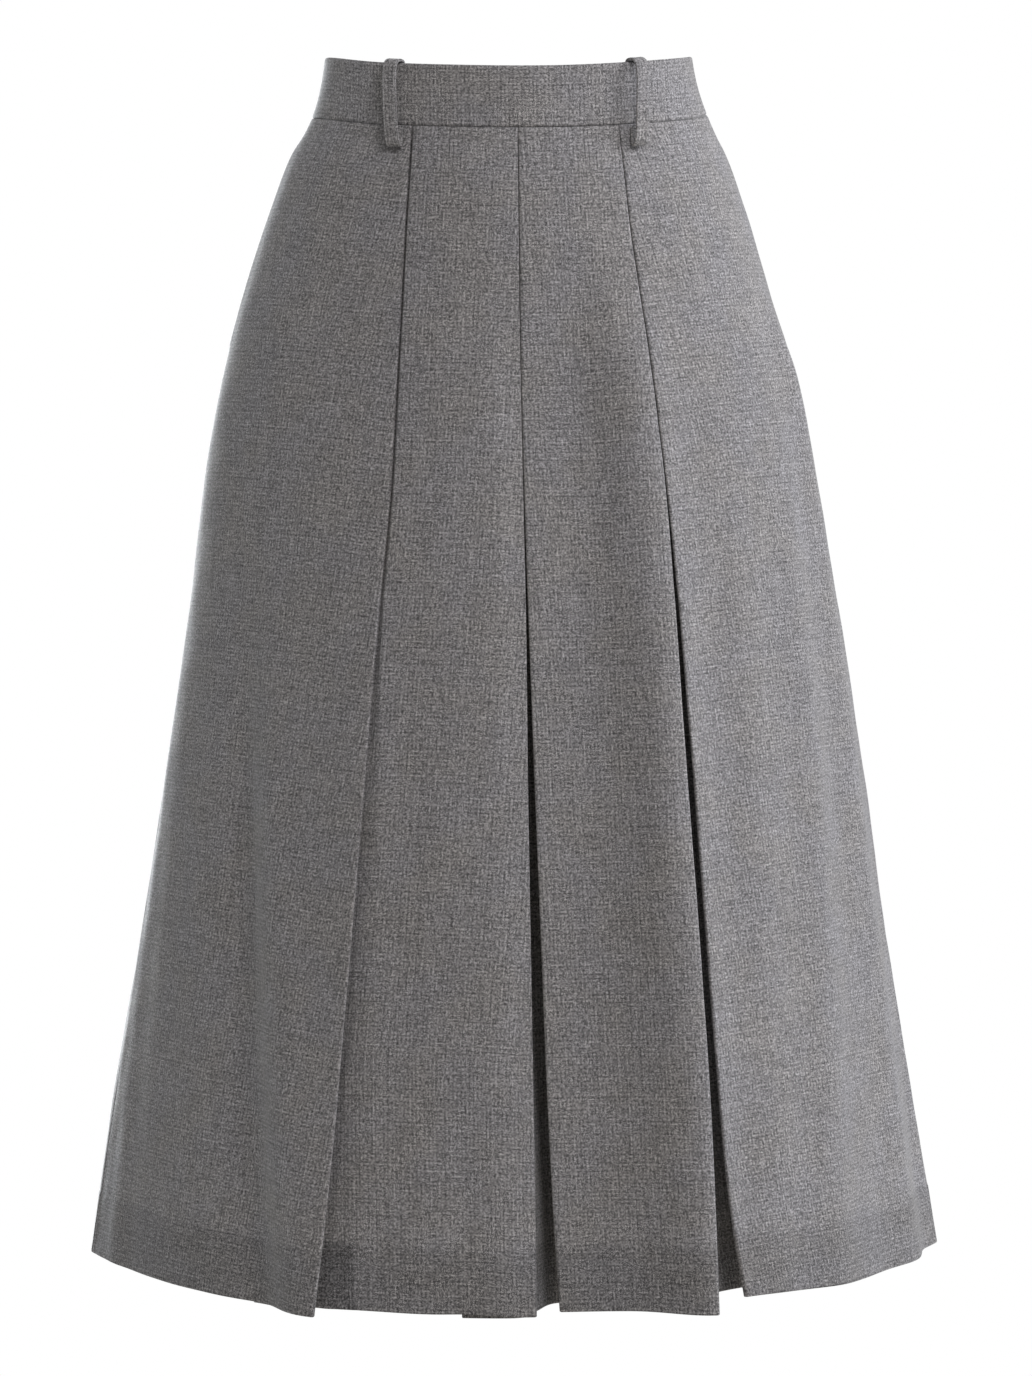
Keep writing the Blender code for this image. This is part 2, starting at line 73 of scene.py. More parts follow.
def soft_light(name, azimuth, height, size, power, colour):
    """A large square studio light, placed round the skirt's middle from its front and facing it."""
    turn, rise = math.radians(azimuth), math.radians(height)
    away = Vector((math.sin(turn) * math.cos(rise), -math.cos(turn) * math.cos(rise), math.sin(rise)))
    bpy.ops.object.light_add(type="AREA", location=MIDDLE + away * LIGHT_DISTANCE)
    light = bpy.context.object
    light.name = name
    light.data.shape = "SQUARE"
    light.data.size = size
    light.data.energy = power
    light.data.color = colour
    light.rotation_euler = away.to_track_quat("Z", "Y").to_euler()


soft_light("key_light", 20, 35, 1.0, 32, (1.0, 0.985, 1.01))
soft_light("left_side_light", 84, 32, 1.0, 56, (0.96, 0.975, 1.03))
soft_light("left_rim_light", 100, 5, 1.0, 37, (0.93, 0.97, 1.03))
soft_light("right_side_light", -110, 5, 1.0, 16, (0.93, 0.98, 1.02))
soft_light("right_rim_light", -158, -4, 1.0, 150, (0.93, 0.98, 1.02))
soft_light("floor_glow", -8, -45, 1.6, 9, (1.0, 0.90, 0.70))

world = bpy.data.worlds.new("white studio")
bpy.context.scene.world = world
world.use_nodes = True
air = world.node_tree.nodes
ambient = air["Background"]
ambient.inputs["Color"].default_value = (1.0, 1.0, 1.0, 1.0)
ambient.inputs["Strength"].default_value = 0.31
seen = air.new("ShaderNodeBackground")
seen.inputs["Color"].default_value = (1.0, 1.0, 1.0, 1.0)
seen.inputs["Strength"].default_value = 1.0
ray = air.new("ShaderNodeLightPath")
choice = air.new("ShaderNodeMixShader")
world.node_tree.links.new(ray.outputs["Is Camera Ray"], choice.inputs["Fac"])
world.node_tree.links.new(ambient.outputs[0], choice.inputs[1])
world.node_tree.links.new(seen.outputs[0], choice.inputs[2])
world.node_tree.links.new(choice.outputs[0], air["World Output"].inputs["Surface"])


# ---------------------------------------------------------------------------------------------
# The cloth: a fine plain-weave wool suiting of light and dark grey fibres spun together. Its
# yarns are uneven, so that slubs show as short streaks along both the warp and the weft.
# ---------------------------------------------------------------------------------------------

YARN_PITCH = 0.00065  # in metres, like all lengths in a shader
YARN_TONES, SLUBS, TINTS = 30, 260, 26  # how often the tone, the slubs and the tint vary in a metre
YARNS_UNLIKE, SLUBS_UNLIKE = 7.31, 0.2  # how far apart two neighbouring yarns read each noise
SLUB_YARNS = 4  # the streaks repeat over so many yarns
CROSSING_TONE, YARN_TONE, SLUB_TONE, MIDDLE_TONE = 0.44, 0.21, 0.54, 0.6
PAINTED_SHADE_TONE = 0.065  # painted shade: how much darker the cloth is painted where a second layer lies behind it
WEAVE_RELIEF = 0.00005
WOOL_DARK = (0.036, 0.035, 0.036)
WOOL_LIGHT = (0.505, 0.487, 0.488)
WOOL_WARM = (0.511, 0.488, 0.478)
WOOL_COOL = (0.503, 0.487, 0.498)


class Value:
    """A number that a node gives. Python's operators on it add Math nodes."""

    def __init__(self, finish, socket):
        self.finish, self.socket = finish, socket

    def math(self, operation, first, second=0.0):
        made = self.finish.node("ShaderNodeMath", {"operation": operation}, {0: first, 1: second})
        return Value(self.finish, made.outputs[0])

    def __add__(self, other):
        return self.math("ADD", self, other)

    def __radd__(self, other):
        return self.math("ADD", other, self)

    def __sub__(self, other):
        return self.math("SUBTRACT", self, other)

    def __rsub__(self, other):
        return self.math("SUBTRACT", other, self)

    def __mul__(self, other):
        return self.math("MULTIPLY", self, other)

    def __rmul__(self, other):
        return self.math("MULTIPLY", other, self)

    def floor(self):
        return self.math("FLOOR", self)

    def wave(self):
        return self.math("SINE", self * (2 * math.pi))


def colour_of(colour):
    return (*colour, 1.0) if isinstance(colour, tuple) else colour


class Finish:
    """A material on the Principled shader, and the nodes that vary it over the surface."""

    def __init__(self, name, colour, roughness, **constants):
        self.material = bpy.data.materials.new(name)
        self.material.use_nodes = True
        self.tree = self.material.node_tree
        self.shader = self.tree.nodes["Principled BSDF"]
        self.shader.inputs["Base Color"].default_value = (*colour, 1.0)
        self.shader.inputs["Roughness"].default_value = roughness
        for socket, value in constants.items():
            self.shader.inputs[socket.replace("_", " ")].default_value = value

    def node(self, kind, settings=(), inputs=()):
        """A node with its settings set first, then the values or links of its sockets."""
        made = self.tree.nodes.new(kind)
        for name, value in dict(settings).items():
            setattr(made, name, value)
        for name, value in dict(inputs).items():
            self.feed(made.inputs[name], value)
        return made

    def feed(self, socket, value):
        if isinstance(value, Value):
            value = value.socket
        if isinstance(value, bpy.types.NodeSocket):
            self.tree.links.new(value, socket)
        else:
            socket.default_value = value

    def place(self, x, y):
        return self.node("ShaderNodeCombineXYZ", {}, {"X": x, "Y": y}).outputs[0]

    def noise(self, x, y, detail=1.0):
        """Smooth noise from 0 to 1 that varies about once for each unit of x and of y."""
        made = self.node(
            "ShaderNodeTexNoise",
            {"noise_dimensions": "2D"},
            {"Vector": self.place(x, y), "Scale": 1.0, "Detail": detail, "Roughness": 0.5},
        )
        return Value(self, made.outputs["Fac"])

    def chance(self, x, y):
        """A number from 0 to 1 that is unlike its neighbours' for each pair of x and y."""
        vector = {"Vector": self.place(x, y)}
        made = self.node("ShaderNodeTexWhiteNoise", {"noise_dimensions": "2D"}, vector)
        return Value(self, made.outputs["Value"])

    def blend_of(self, first, second, share):
        """A colour between two colours."""
        mix = self.node(
            "ShaderNodeMix",
            {"data_type": "RGBA", "clamp_factor": True},
            {"Factor": share, 6: colour_of(first), 7: colour_of(second)},
        )
        return mix.outputs[2]

    def relief(self, height, distance):
        """A bump of this height from 0 to 1, this deep in metres."""
        values = {"Strength": 1.0, "Distance": distance, "Height": height}
        bump = self.node("ShaderNodeBump", {}, values)
        self.feed(self.shader.inputs["Normal"], bump.outputs["Normal"])

    def cloth_place(self):
        """Where a point lies on the flat cloth, in metres across it and along it."""
        cloth = self.node("ShaderNodeUVMap", {"uv_map": "cloth"}).outputs["UV"]
        split = self.node("ShaderNodeSeparateXYZ", {}, {0: cloth})
        return Value(self, split.outputs["X"]), Value(self, split.outputs["Y"])


def suiting():
    """Melange suiting in plain weave, with a tone for each warp and weft yarn and each crossing."""
    constants = {"Specular_IOR_Level": 0.25, "Sheen_Weight": 0.3, "Sheen_Roughness": 0.4}
    made = Finish("grey melange wool suiting", WOOL_LIGHT, 0.92, **constants)
    across, along = made.cloth_place()
    warp_number, weft_number = (across * (1 / YARN_PITCH)).floor(), (along * (1 / YARN_PITCH)).floor()
    crossing = made.chance(warp_number, weft_number) - 0.5
    warp = made.noise(warp_number * YARNS_UNLIKE, along * YARN_TONES) - 0.5
    weft = made.noise(across * YARN_TONES, weft_number * YARNS_UNLIKE) - 0.5
    warp_slubs = made.noise(warp_number * SLUBS_UNLIKE, along * SLUBS) - 0.4
    weft_slubs = made.noise(across * SLUBS, weft_number * SLUBS_UNLIKE) - 0.4
    slubs = (warp_number * (1 / SLUB_YARNS)).wave() * warp_slubs
    slubs = slubs + (weft_number * (1 / SLUB_YARNS)).wave() * weft_slubs
    tone = MIDDLE_TONE + crossing * CROSSING_TONE + (warp + weft) * YARN_TONE + slubs * SLUB_TONE
    # Painted shade: the tone is darkened by this attribute over the hem's second layer, and more in the
    # right centre panel's shadowed corner by the hem.
    painted_layer_shade = Value(made, made.node("ShaderNodeAttribute", {"attribute_name": "painted_layer_shade"}).outputs["Fac"])
    tone = tone - painted_layer_shade * PAINTED_SHADE_TONE
    warmth = (made.noise(across * TINTS, along * TINTS, 2.0) - 0.5) * 3 + 0.5
    tint = made.blend_of(WOOL_WARM, WOOL_COOL, warmth)
    made.feed(made.shader.inputs["Base Color"], made.blend_of(WOOL_DARK, tint, tone * tone))
    made.relief(0.5 + crossing * 0.6 + slubs, WEAVE_RELIEF)
    return made.material


wool = suiting()


# ---------------------------------------------------------------------------------------------
# The skirt's form, which all its panels share: cut to lie smoothly over waist and hips, then
# hanging free. Each row is a level section, and each fold edge of the front has its own line.
# ---------------------------------------------------------------------------------------------

WALL = 0.7  # one layer of suiting, pressed
WAIST_SEAM_Z = -20.0
WAIST_DIP_FRONT, WAIST_DIP_BACK = 10.0, 4.0
LENGTH = 760.0
HEM_DEPTH = 40.0
FACET_BOW, SIDE_ROUND = 1.25, 0.85
PLEAT_OPENS = 240.0
LEFT_SIDE, RIGHT_SIDE, BACK = math.radians(90), math.radians(-90), math.radians(180)

Section = namedtuple("Section", "drop right left front back flat_front flat_back plateau")
SECTIONS = (
    Section(-40, 121.5, 122.0, 92.0, 92.0, 0.00, 0.00, 60),
    Section(-24, 123.9, 124.8, 93.9, 94.4, 0.00, 0.00, 62),
    Section(0, 130.2, 132.2, 98.0, 99.0, 0.00, 0.00, 65),
    Section(30, 145.8, 146.0, 106.0, 112.0, 0.00, 0.00, 70),
    Section(60, 157.0, 157.0, 113.0, 123.0, 0.00, 0.00, 72),
    Section(120, 176.5, 175.5, 125.0, 139.0, 0.05, 0.00, 76),
    Section(180, 192.0, 195.0, 136.0, 147.0, 0.12, 0.05, 82),
    Section(240, 202.5, 207.0, 146.0, 151.0, 0.22, 0.12, 88),
    Section(320, 212.0, 221.0, 158.0, 158.0, 0.38, 0.22, 94),
    Section(420, 227.5, 237.5, 173.0, 168.0, 0.55, 0.32, 101),
    Section(520, 242.5, 252.5, 188.0, 179.0, 0.68, 0.42, 108),
    Section(640, 261.5, 271.2, 206.0, 191.0, 0.80, 0.50, 118),
    Section(760, 278.2, 290.6, 224.0, 203.0, 0.85, 0.55, 128),
)

# Where each fold edge of the front lies, across from the centre front.
Folds = namedtuple("Folds", "drop side_right centre_right centre_left inner_left side_left")
FOLDS = (
    Folds(0, -68.5, -0.15, 0.15, 66.5, 66.8),
    Folds(60, -73.0, -0.5, -0.2, 71.8, 72.3),
    Folds(120, -76.8, -0.5, -0.2, 78.6, 79.2),
    Folds(180, -80.6, 0.0, 0.3, 85.4, 86.1),
    Folds(240, -84.5, 0.7, 1.3, 91.3, 92.3),
    Folds(320, -93.0, 1.6, 3.2, 96.5, 99.6),
    Folds(420, -102.2, 1.8, 6.0, 102.4, 107.6),
    Folds(520, -111.4, 2.5, 9.0, 108.8, 114.8),
    Folds(640, -123.0, 3.4, 12.8, 115.4, 123.6),
    Folds(700, -128.8, 3.9, 15.4, 117.2, 130.0),
    Folds(760, -134.5, 4.0, 18.8, 118.6, 140.6),
)

# How each fold edge stands at the hem: how far forward of the plain form, how much lower, how wide
# a strip of the panel goes with it, the angle in degrees that the cloth behind it swings in by, and
# how much lower that cloth hangs.
Stand = namedtuple("Stand", "edge forward lower strip swing tail")
STAND = {
    "side_right": Stand("side_right", 4.0, 1.0, 60.0, 4.0, 0.0),
    "under_right": Stand("side_right", -10.0, -2.0, 80.0, 0.0, 0.0),
    "centre_right": Stand("centre_right", 3.0, 2.4, 52.0, 12.0, 0.6),
    "centre_left": Stand("centre_left", 0.0, 0.0, 50.0, 18.0, -2.0),
    "inner_left": Stand("inner_left", 9.0, 1.0, 55.0, 48.0, -4.0),
    "side_left": Stand("side_left", -15.0, -3.5, 90.0, 12.0, -1.0),
}

# Soft folds of the hanging cloth: where each lies round the girth at a drop of 300 and at the hem,
# how wide it is, how far it stands out when full (a trough is negative), and from which drop to
# which it grows. They fall straight down, so their turn lessens as the girth grows.
SoftFold = namedtuple("SoftFold", "hip hem spread out starts full")
SOFT_FOLDS = (
    SoftFold(-73, -55, 7, 2, 300, 640),
    SoftFold(-56.5, -38.5, 4, -8, 260, 520),
    SoftFold(-49.5, -31, 4, 4, 260, 520),
    SoftFold(-48, -29, 4, 2, 330, 640),
    SoftFold(12.5, 9.5, 8, -5.5, 60, 210),
    SoftFold(34.3, 28, 5.5, -3.4, 150, 400),
    SoftFold(42, 33, 3.5, 0.8, 150, 400),
    SoftFold(57, 45, 4.5, 4.2, 120, 400),
    SoftFold(71.5, 66, 5, 4.5, 90, 170),
    SoftFold(86, 78, 7, -4, 330, 760),
    SoftFold(112, 102, 8, 6, 300, 760),
    SoftFold(127, 119, 9, -8, 260, 700),
    SoftFold(146, 140, 10, 8, 300, 760),
    SoftFold(163, 159, 9, -7, 340, 760),
    SoftFold(-112, -101, 9, 7, 280, 760),
    SoftFold(-128, -120, 9, -9, 300, 720),
    SoftFold(-144, -138, 9, 7, 270, 760),
    SoftFold(-161, -157, 10, -8, 330, 760),
)

# Swells along the pleats, where the folded cloth behind lifts the front or lets it sink in: which
# fold edge it follows, how far aside of that it is highest, how wide it is towards the wearer's
# right and left, how far it stands out, and from which drop it grows and to which it is full.
Swell = namedtuple("Swell", "edge aside right_spread left_spread out starts full")
SWELLS = (
    Swell("inner_left", -14, 24, 25, 7.3, 50, 190),
    Swell("centre_right", 0, 13, 60, -4, 60, 200),
)

# A place on the cloth at one drop, with an array for each: the turn, how far it lies out from the
# plain form, how far forward it is moved from there and how much lower.
Place = namedtuple("Place", "turn out forward lower")


@lru_cache(maxsize=None)
def row_at(table, drop):
    """The table's row at any drop, on a smooth curve through its rows."""
    rows = np.array(table, float)
    drop = min(max(drop, rows[0, 0]), rows[-1, 0])
    at = min(int(np.searchsorted(rows[:, 0], drop, side="right")) - 1, len(rows) - 2)
    slopes = np.gradient(rows, rows[:, 0], axis=0)
    step = rows[at + 1, 0] - rows[at, 0]
    u = (drop - rows[at, 0]) / step
    return type(table[0])(
        *(
            (2 * u**3 - 3 * u**2 + 1) * rows[at]
            + (u**3 - 2 * u**2 + u) * step * slopes[at]
            + (3 * u**2 - 2 * u**3) * rows[at + 1]
            + (u**3 - u**2) * step * slopes[at + 1]
        )
    )


def smooth_step(value):
    value = np.clip(value, 0, 1)
    return value * value * (3 - 2 * value)


def grown(drop, starts, full):
    """0 as far as the drop where something starts, and 1 beyond the drop where it is full."""
    return smooth_step((drop - starts) / (full - starts))


def hump(away):
    """A smooth hump, 1 in its middle and nearly 0 from 2 on."""
    return np.exp(-away * away)


# Where the waist sits askew, as it is worn: up at the left side seam, down at the right loop.
Askew = namedtuple("Askew", "up degrees spread")
WAIST_ASKEW = (Askew(3.4, 94, 20), Askew(-1.8, -50, 26))
ASKEW_FADES = 60.0


def raised(turn, drop):
    """How much higher the skirt sits here than its cut."""
    lift = sum(place.up * hump((np.degrees(turn) - place.degrees) / place.spread) for place in WAIST_ASKEW)
    return lift * math.exp(-max(drop, 0.0) / ASKEW_FADES)


def plain_form(turn, drop):
    """Points of the form before any fold stands out from it, in millimetres."""
    section = row_at(SECTIONS, drop)
    turn = np.asarray(turn, float)
    sine, cosine = np.sin(turn), np.cos(turn)
    half = np.where(sine > 0, section.left, section.right)
    depth = np.where(cosine < 0, section.back, section.front)
    flat = np.where(cosine < 0, section.flat_back, section.flat_front)
    beyond = np.clip((half * abs(sine) - section.plateau) / (half - section.plateau), 0, 1)
    forward = (1 - flat) * abs(cosine) + flat * (1 - beyond**FACET_BOW) ** SIDE_ROUND
    dip = np.where(cosine > 0, WAIST_DIP_FRONT, WAIST_DIP_BACK) * cosine**2
    level = 1 - min(max(drop, 0.0), LENGTH) / LENGTH
    y = np.where(cosine > 0, -1, 1) * depth * forward
    z = WAIST_SEAM_Z - drop - dip * level + raised(turn, drop)
    return np.stack([half * sine, y, z], axis=-1)


SLOPE_TURN, SLOPE_DROP = 0.01, 3.0  # how far aside a slope is measured, in radians and millimetres


def outward(turn, drop):
    """The direction straight out of the plain form."""
    across = plain_form(turn + SLOPE_TURN, drop) - plain_form(turn - SLOPE_TURN, drop)
    down = plain_form(turn, drop + SLOPE_DROP) - plain_form(turn, drop - SLOPE_DROP)
    normal = np.cross(down, across)
    return normal / np.linalg.norm(normal, axis=-1, keepdims=True)


def girth_step(turn, drop):
    """How many millimetres of girth one radian of turn covers here."""
    ends = plain_form(np.array([turn - SLOPE_TURN, turn + SLOPE_TURN]), drop)
    return float(np.linalg.norm(ends[1] - ends[0]) / (2 * SLOPE_TURN))


def turn_at(across, drop):
    """The turn of the front's point this far across from the centre front."""
    section = row_at(SECTIONS, drop)
    across = np.asarray(across, float)
    return np.arcsin(across / np.where(across > 0, section.left, section.right))


PLEAT_EASE = 1.3  # above 1, so that a pleat opens slowly at first


def opened(drop):
    """How far a pleat has opened: 0 where it is stitched shut, 1 at the hem."""
    return max(0.0, (drop - PLEAT_OPENS) / (LENGTH - PLEAT_OPENS)) ** PLEAT_EASE


def wander(across, down, waves):
    """A field that wanders smoothly between about -1 and 1, from waves of (length, tilt, start)."""
    total = 0.0
    for length, tilt, start in waves:
        total = total + np.sin(
            2 * math.pi * (across * math.cos(tilt) + down * math.sin(tilt)) / length + start
        )
    return total / len(waves) ** 0.5


# Unevenness of hanging cloth: long upright ripples that grow downwards, and a slight wander.
RIPPLES = ((43, 0.04, 0.3), (61, -0.05, 1.9), (88, 0.02, 4.0), (131, -0.03, 2.2))
UNEVEN = ((37, 0.9, 1.0), (53, -0.7, 0.2), (71, 0.4, 3.1), (97, 1.3, 5.0), (149, -0.2, 2.6))
RIPPLE_HEIGHT, UNEVEN_HEIGHT = 0.45, 0.16
RIPPLES_START, RIPPLES_FULL = 60.0, 560.0
HEM_RIDGE = 0.4  # how far the hem's second layer lifts the cloth


def hang(turn, drop):
    """How far the cloth stands out from the plain form, with its soft folds and unevenness."""
    out = np.zeros_like(turn)
    for fold in SOFT_FOLDS:
        at = fold.hip + (fold.hem - fold.hip) * (drop - 300) / (LENGTH - 300)
        away = (np.degrees(turn) - at) / fold.spread
        out += fold.out * grown(drop, fold.starts, fold.full) * hump(away)
    section = row_at(SECTIONS, drop)
    across = np.sin(turn) * np.where(turn > 0, section.left, section.right)
    for swell in SWELLS:
        away = across - getattr(row_at(FOLDS, drop), swell.edge) - swell.aside
        away = away / np.where(away > 0, swell.left_spread, swell.right_spread)
        out += swell.out * grown(drop, swell.starts, swell.full) * hump(away) * (np.cos(turn) > 0)
    girth = turn * 0.5 * (section.left + section.front)
    rippled = RIPPLE_HEIGHT * grown(drop, RIPPLES_START, RIPPLES_FULL)
    out += rippled * wander(girth, drop, RIPPLES) + UNEVEN_HEIGHT * wander(girth, drop, UNEVEN)
    return out + HEM_RIDGE * grown(drop, LENGTH - HEM_DEPTH - 1, LENGTH - HEM_DEPTH + 1.5)


def cloth_points(place, drop, inward=0.0):
    """The points of these places, in millimetres, moved this far in."""
    points = plain_form(place.turn, drop) + outward(place.turn, drop) * (place.out - inward)[:, None]
    points[:, 1] -= place.forward
    points[:, 2] -= place.lower
    return points


def laid(turns, out):
    """Places that lie this far out from the plain form and are moved no further."""
    zero = np.zeros_like(turns)
    return Place(turns, zero + out, zero, zero)


def joined(*places):
    return Place(*(np.concatenate(parts) for parts in zip(*places)))


def reversed_place(place):
    return Place(*(part[::-1] for part in place))


def near_edge(edge_name, away, drop):
    """What a fold edge's stand adds this far from the edge, as (forward, lower)."""
    stand = STAND[edge_name]
    part = opened(drop) * (1 - smooth_step(away / stand.strip))
    return stand.forward * part, stand.lower * part


def on_panel(turn, drop, edges, step=0.0):
    """Places on the flat of a panel that ends at the named fold edges."""
    across = plain_form(turn, drop)[:, 0]
    forward, lower = np.zeros_like(turn), np.zeros_like(turn)
    for edge_name in edges:
        away = abs(across - getattr(row_at(FOLDS, drop), STAND[edge_name].edge))
        more_forward, more_lower = near_edge(edge_name, away, drop)
        forward += more_forward
        lower += more_lower
    return Place(turn, hang(turn, drop) - step, forward, lower)


# ---------------------------------------------------------------------------------------------
# Pressed edges and seams. A pleat's edge is a sharp fold with the cloth turned back behind it to
# the pleat's inner seam; a seam's edge rolls in to an allowance that is pressed back inside.
# ---------------------------------------------------------------------------------------------

PLEAT_DEPTH_WAIST, PLEAT_DEPTH_HEM = 30.0, 46.0
FOLD_RADIUS_WAIST = 0.7  # pressed flat; it is fuller over the hips and where the pleat hangs open
FOLD_RADIUS_HIP, FOLD_RADIUS_OPEN, FOLD_RADIUS_HEM = 0.9, 1.1, 1.5
SEAM_RADIUS, WAIST_SEAM_RADIUS = 0.7, 0.98
SEAM_GAP = 0.04
ALLOWANCE = 12.0
SEAM_COLUMNS = 7  # the columns of points in a seam's allowance and roll, before the panel itself


def pleat_depth(drop):
    """How far the cloth runs back from a fold edge to the pleat's inner seam."""
    return PLEAT_DEPTH_WAIST + (PLEAT_DEPTH_HEM - PLEAT_DEPTH_WAIST) * drop / LENGTH


def over_hem(drop):
    """How far the hem's bulk tells at this drop: 0 above the hem, 1 in it."""
    return grown(drop, LENGTH - HEM_DEPTH - 14, LENGTH - HEM_DEPTH + 6)


def fold_radius(drop):
    radius = FOLD_RADIUS_WAIST + (FOLD_RADIUS_HIP - FOLD_RADIUS_WAIST) * grown(drop, 15, 105)
    radius += (FOLD_RADIUS_OPEN - FOLD_RADIUS_HIP) * grown(drop, 300, 550)
    return radius + (FOLD_RADIUS_HEM - FOLD_RADIUS_OPEN) * over_hem(drop)


def rounded(turn, into, radius, drop, steps=6):
    """Turns and outs round an edge, from the panel to what lies behind it."""
    angle = np.linspace(0, math.pi, steps + 1)
    along = WALL / 2 + radius * (1 - np.sin(angle))
    return turn + into * along / girth_step(turn, drop), -radius * (1 - np.cos(angle))


def pleat_edge(edge_name, direction, drop, columns=11):
    """Places from a panel's fold edge back to the pleat's inner seam. The panel ends in direction."""
    stand = STAND[edge_name]
    edge = getattr(row_at(FOLDS, drop), edge_name)
    turn = float(turn_at(edge, drop))
    radius = fold_radius(drop)
    forward, lower = near_edge(edge_name, 0.0, drop)
    turns, outs = rounded(turn, -direction, radius, drop)
    same = np.ones_like(turns)
    fold = Place(turns, hang(turns, drop) + outs, forward * same, lower * same)
    reach = np.linspace(0, pleat_depth(drop), columns + 1)[1:]
    swing = math.radians(stand.swing) * opened(drop)
    behind = turn_at(edge - direction * (reach * math.cos(swing) + WALL / 2 + radius), drop)
    settled = smooth_step(reach / 14)
    return joined(
        fold,
        Place(
            behind,
            hang(behind, drop) - 2 * radius - reach * math.sin(swing),
            forward + 0 * reach,
            lower + stand.tail * opened(drop) * settled,
        ),
    )


def seam_edge(turn, into, drop, lift=0.0, allowance=ALLOWANCE):
    """Places from a seam allowance's end to the seam. The panel runs on from there into turns."""
    seam = turn + into * SEAM_GAP / 2 / girth_step(turn, drop)
    turns, outs = rounded(seam, into, SEAM_RADIUS, drop, 4)
    back = np.array([allowance, allowance * 0.6, allowance * 0.3])
    back_turns = turn + into * back / girth_step(turn, drop)
    turns = np.concatenate([back_turns, turns[::-1]])
    outs = np.concatenate([np.full(3, -2 * SEAM_RADIUS), outs[::-1]]) + lift
    return laid(turns, outs + hang(turns, drop))


def cloth_rows(row_of, drops):
    """The rows of points of a piece, with its upper edge rolled in to the waist seam."""
    rows = []
    for angle in np.linspace(math.pi, 0, 5)[:-1]:
        drop = SEAM_GAP / 2 + WALL / 2 + WAIST_SEAM_RADIUS * (1 - math.sin(angle))
        rows.append(cloth_points(row_of(drop), drop, WAIST_SEAM_RADIUS * (1 - math.cos(angle))))
    rows += [cloth_points(row_of(drop), drop) for drop in drops]
    return np.array(rows)


def sheet_normals(points):
    """Normals of a grid of points, on the cloth's right side."""
    down = np.gradient(points, axis=0)
    across = np.gradient(points, axis=1)
    normal = np.cross(down, across)
    return normal / np.maximum(np.linalg.norm(normal, axis=-1, keepdims=True), 1e-9)


def arc_lengths(points, axis):
    """Running length along one axis of a grid of points."""
    steps = np.linalg.norm(np.diff(points, axis=axis), axis=-1)
    return np.concatenate([np.zeros_like(steps.take([0], axis)), np.cumsum(steps, axis)], axis)


def cloth_coordinates(points, grain, flare):
    """Where each point lies on the flat cut, in millimetres: across the grain line and down it.

    Most pieces are then moved to a place of their own on the cloth, so that their yarns differ.
    """
    across = arc_lengths(points, 1)
    across = across - across[:, grain : grain + 1]
    down = arc_lengths(points, 0)[:, grain : grain + 1]
    width = np.ptp(across, axis=1, keepdims=True)
    return np.stack([across, down - across**2 * flare / (2 * width)], axis=-1)


HEM_RADIUS = 0.55 * WALL + 0.05
SEAM_BULK = 1.5  # how much further in the hem's second layer lies over a seam's allowance


def turned_hem(points, flat, side):
    """The hem's second layer behind a slice of columns: its points, and its places on the flat cut."""
    normals = sheet_normals(points)[:, side]
    edge, flat_edge = points[-1, side], flat[-1, side]
    down = edge - points[-3, side]
    down /= np.linalg.norm(down, axis=-1, keepdims=True)
    turned, turned_flat = [], []
    for angle in (math.radians(45), math.radians(90), math.radians(135)):
        inward = normals[-1] * HEM_RADIUS * (1 - math.cos(angle))
        turned.append(edge + down * HEM_RADIUS * math.sin(angle) - inward)
        turned_flat.append(flat_edge + [0, HEM_RADIUS * angle])
    order = np.arange(len(edge))
    ends = np.minimum(order, order[::-1])
    over_seams = SEAM_BULK * (1 - smooth_step((ends - 1.5) / 3.0))[:, None] * (side.start > 0)
    for step, row in enumerate(range(len(points) - 2, 0, -1), 1):
        depth = flat_edge[:, 1] - flat[row, side, 1]
        if depth.mean() > HEM_DEPTH:
            break
        turned.append(points[row, side] - normals[row] * (2 * HEM_RADIUS + over_seams * min(1, step / 3)))
        turned_flat.append(flat_edge + np.stack([0 * depth, depth], axis=-1))
    return np.array(turned), np.array(turned_flat)


def new_piece(name, points, faces, finish, coordinates=None):
    """A smooth mesh from points, and their places on the flat cloth, in millimetres."""
    mesh = bpy.data.meshes.new(name)
    mesh.from_pydata((points * MM).tolist(), [], faces)
    if coordinates is not None:
        uv = mesh.uv_layers.new(name="cloth")
        corners = np.empty(len(mesh.loops), np.int32)
        mesh.loops.foreach_get("vertex_index", corners)
        uv.data.foreach_set("uv", (coordinates[corners] * MM).astype(np.float32).ravel())
    mesh.polygons.foreach_set("use_smooth", [True] * len(mesh.polygons))
    mesh.materials.append(finish)
    piece = bpy.data.objects.new(name, mesh)
    bpy.context.scene.collection.objects.link(piece)
    return piece


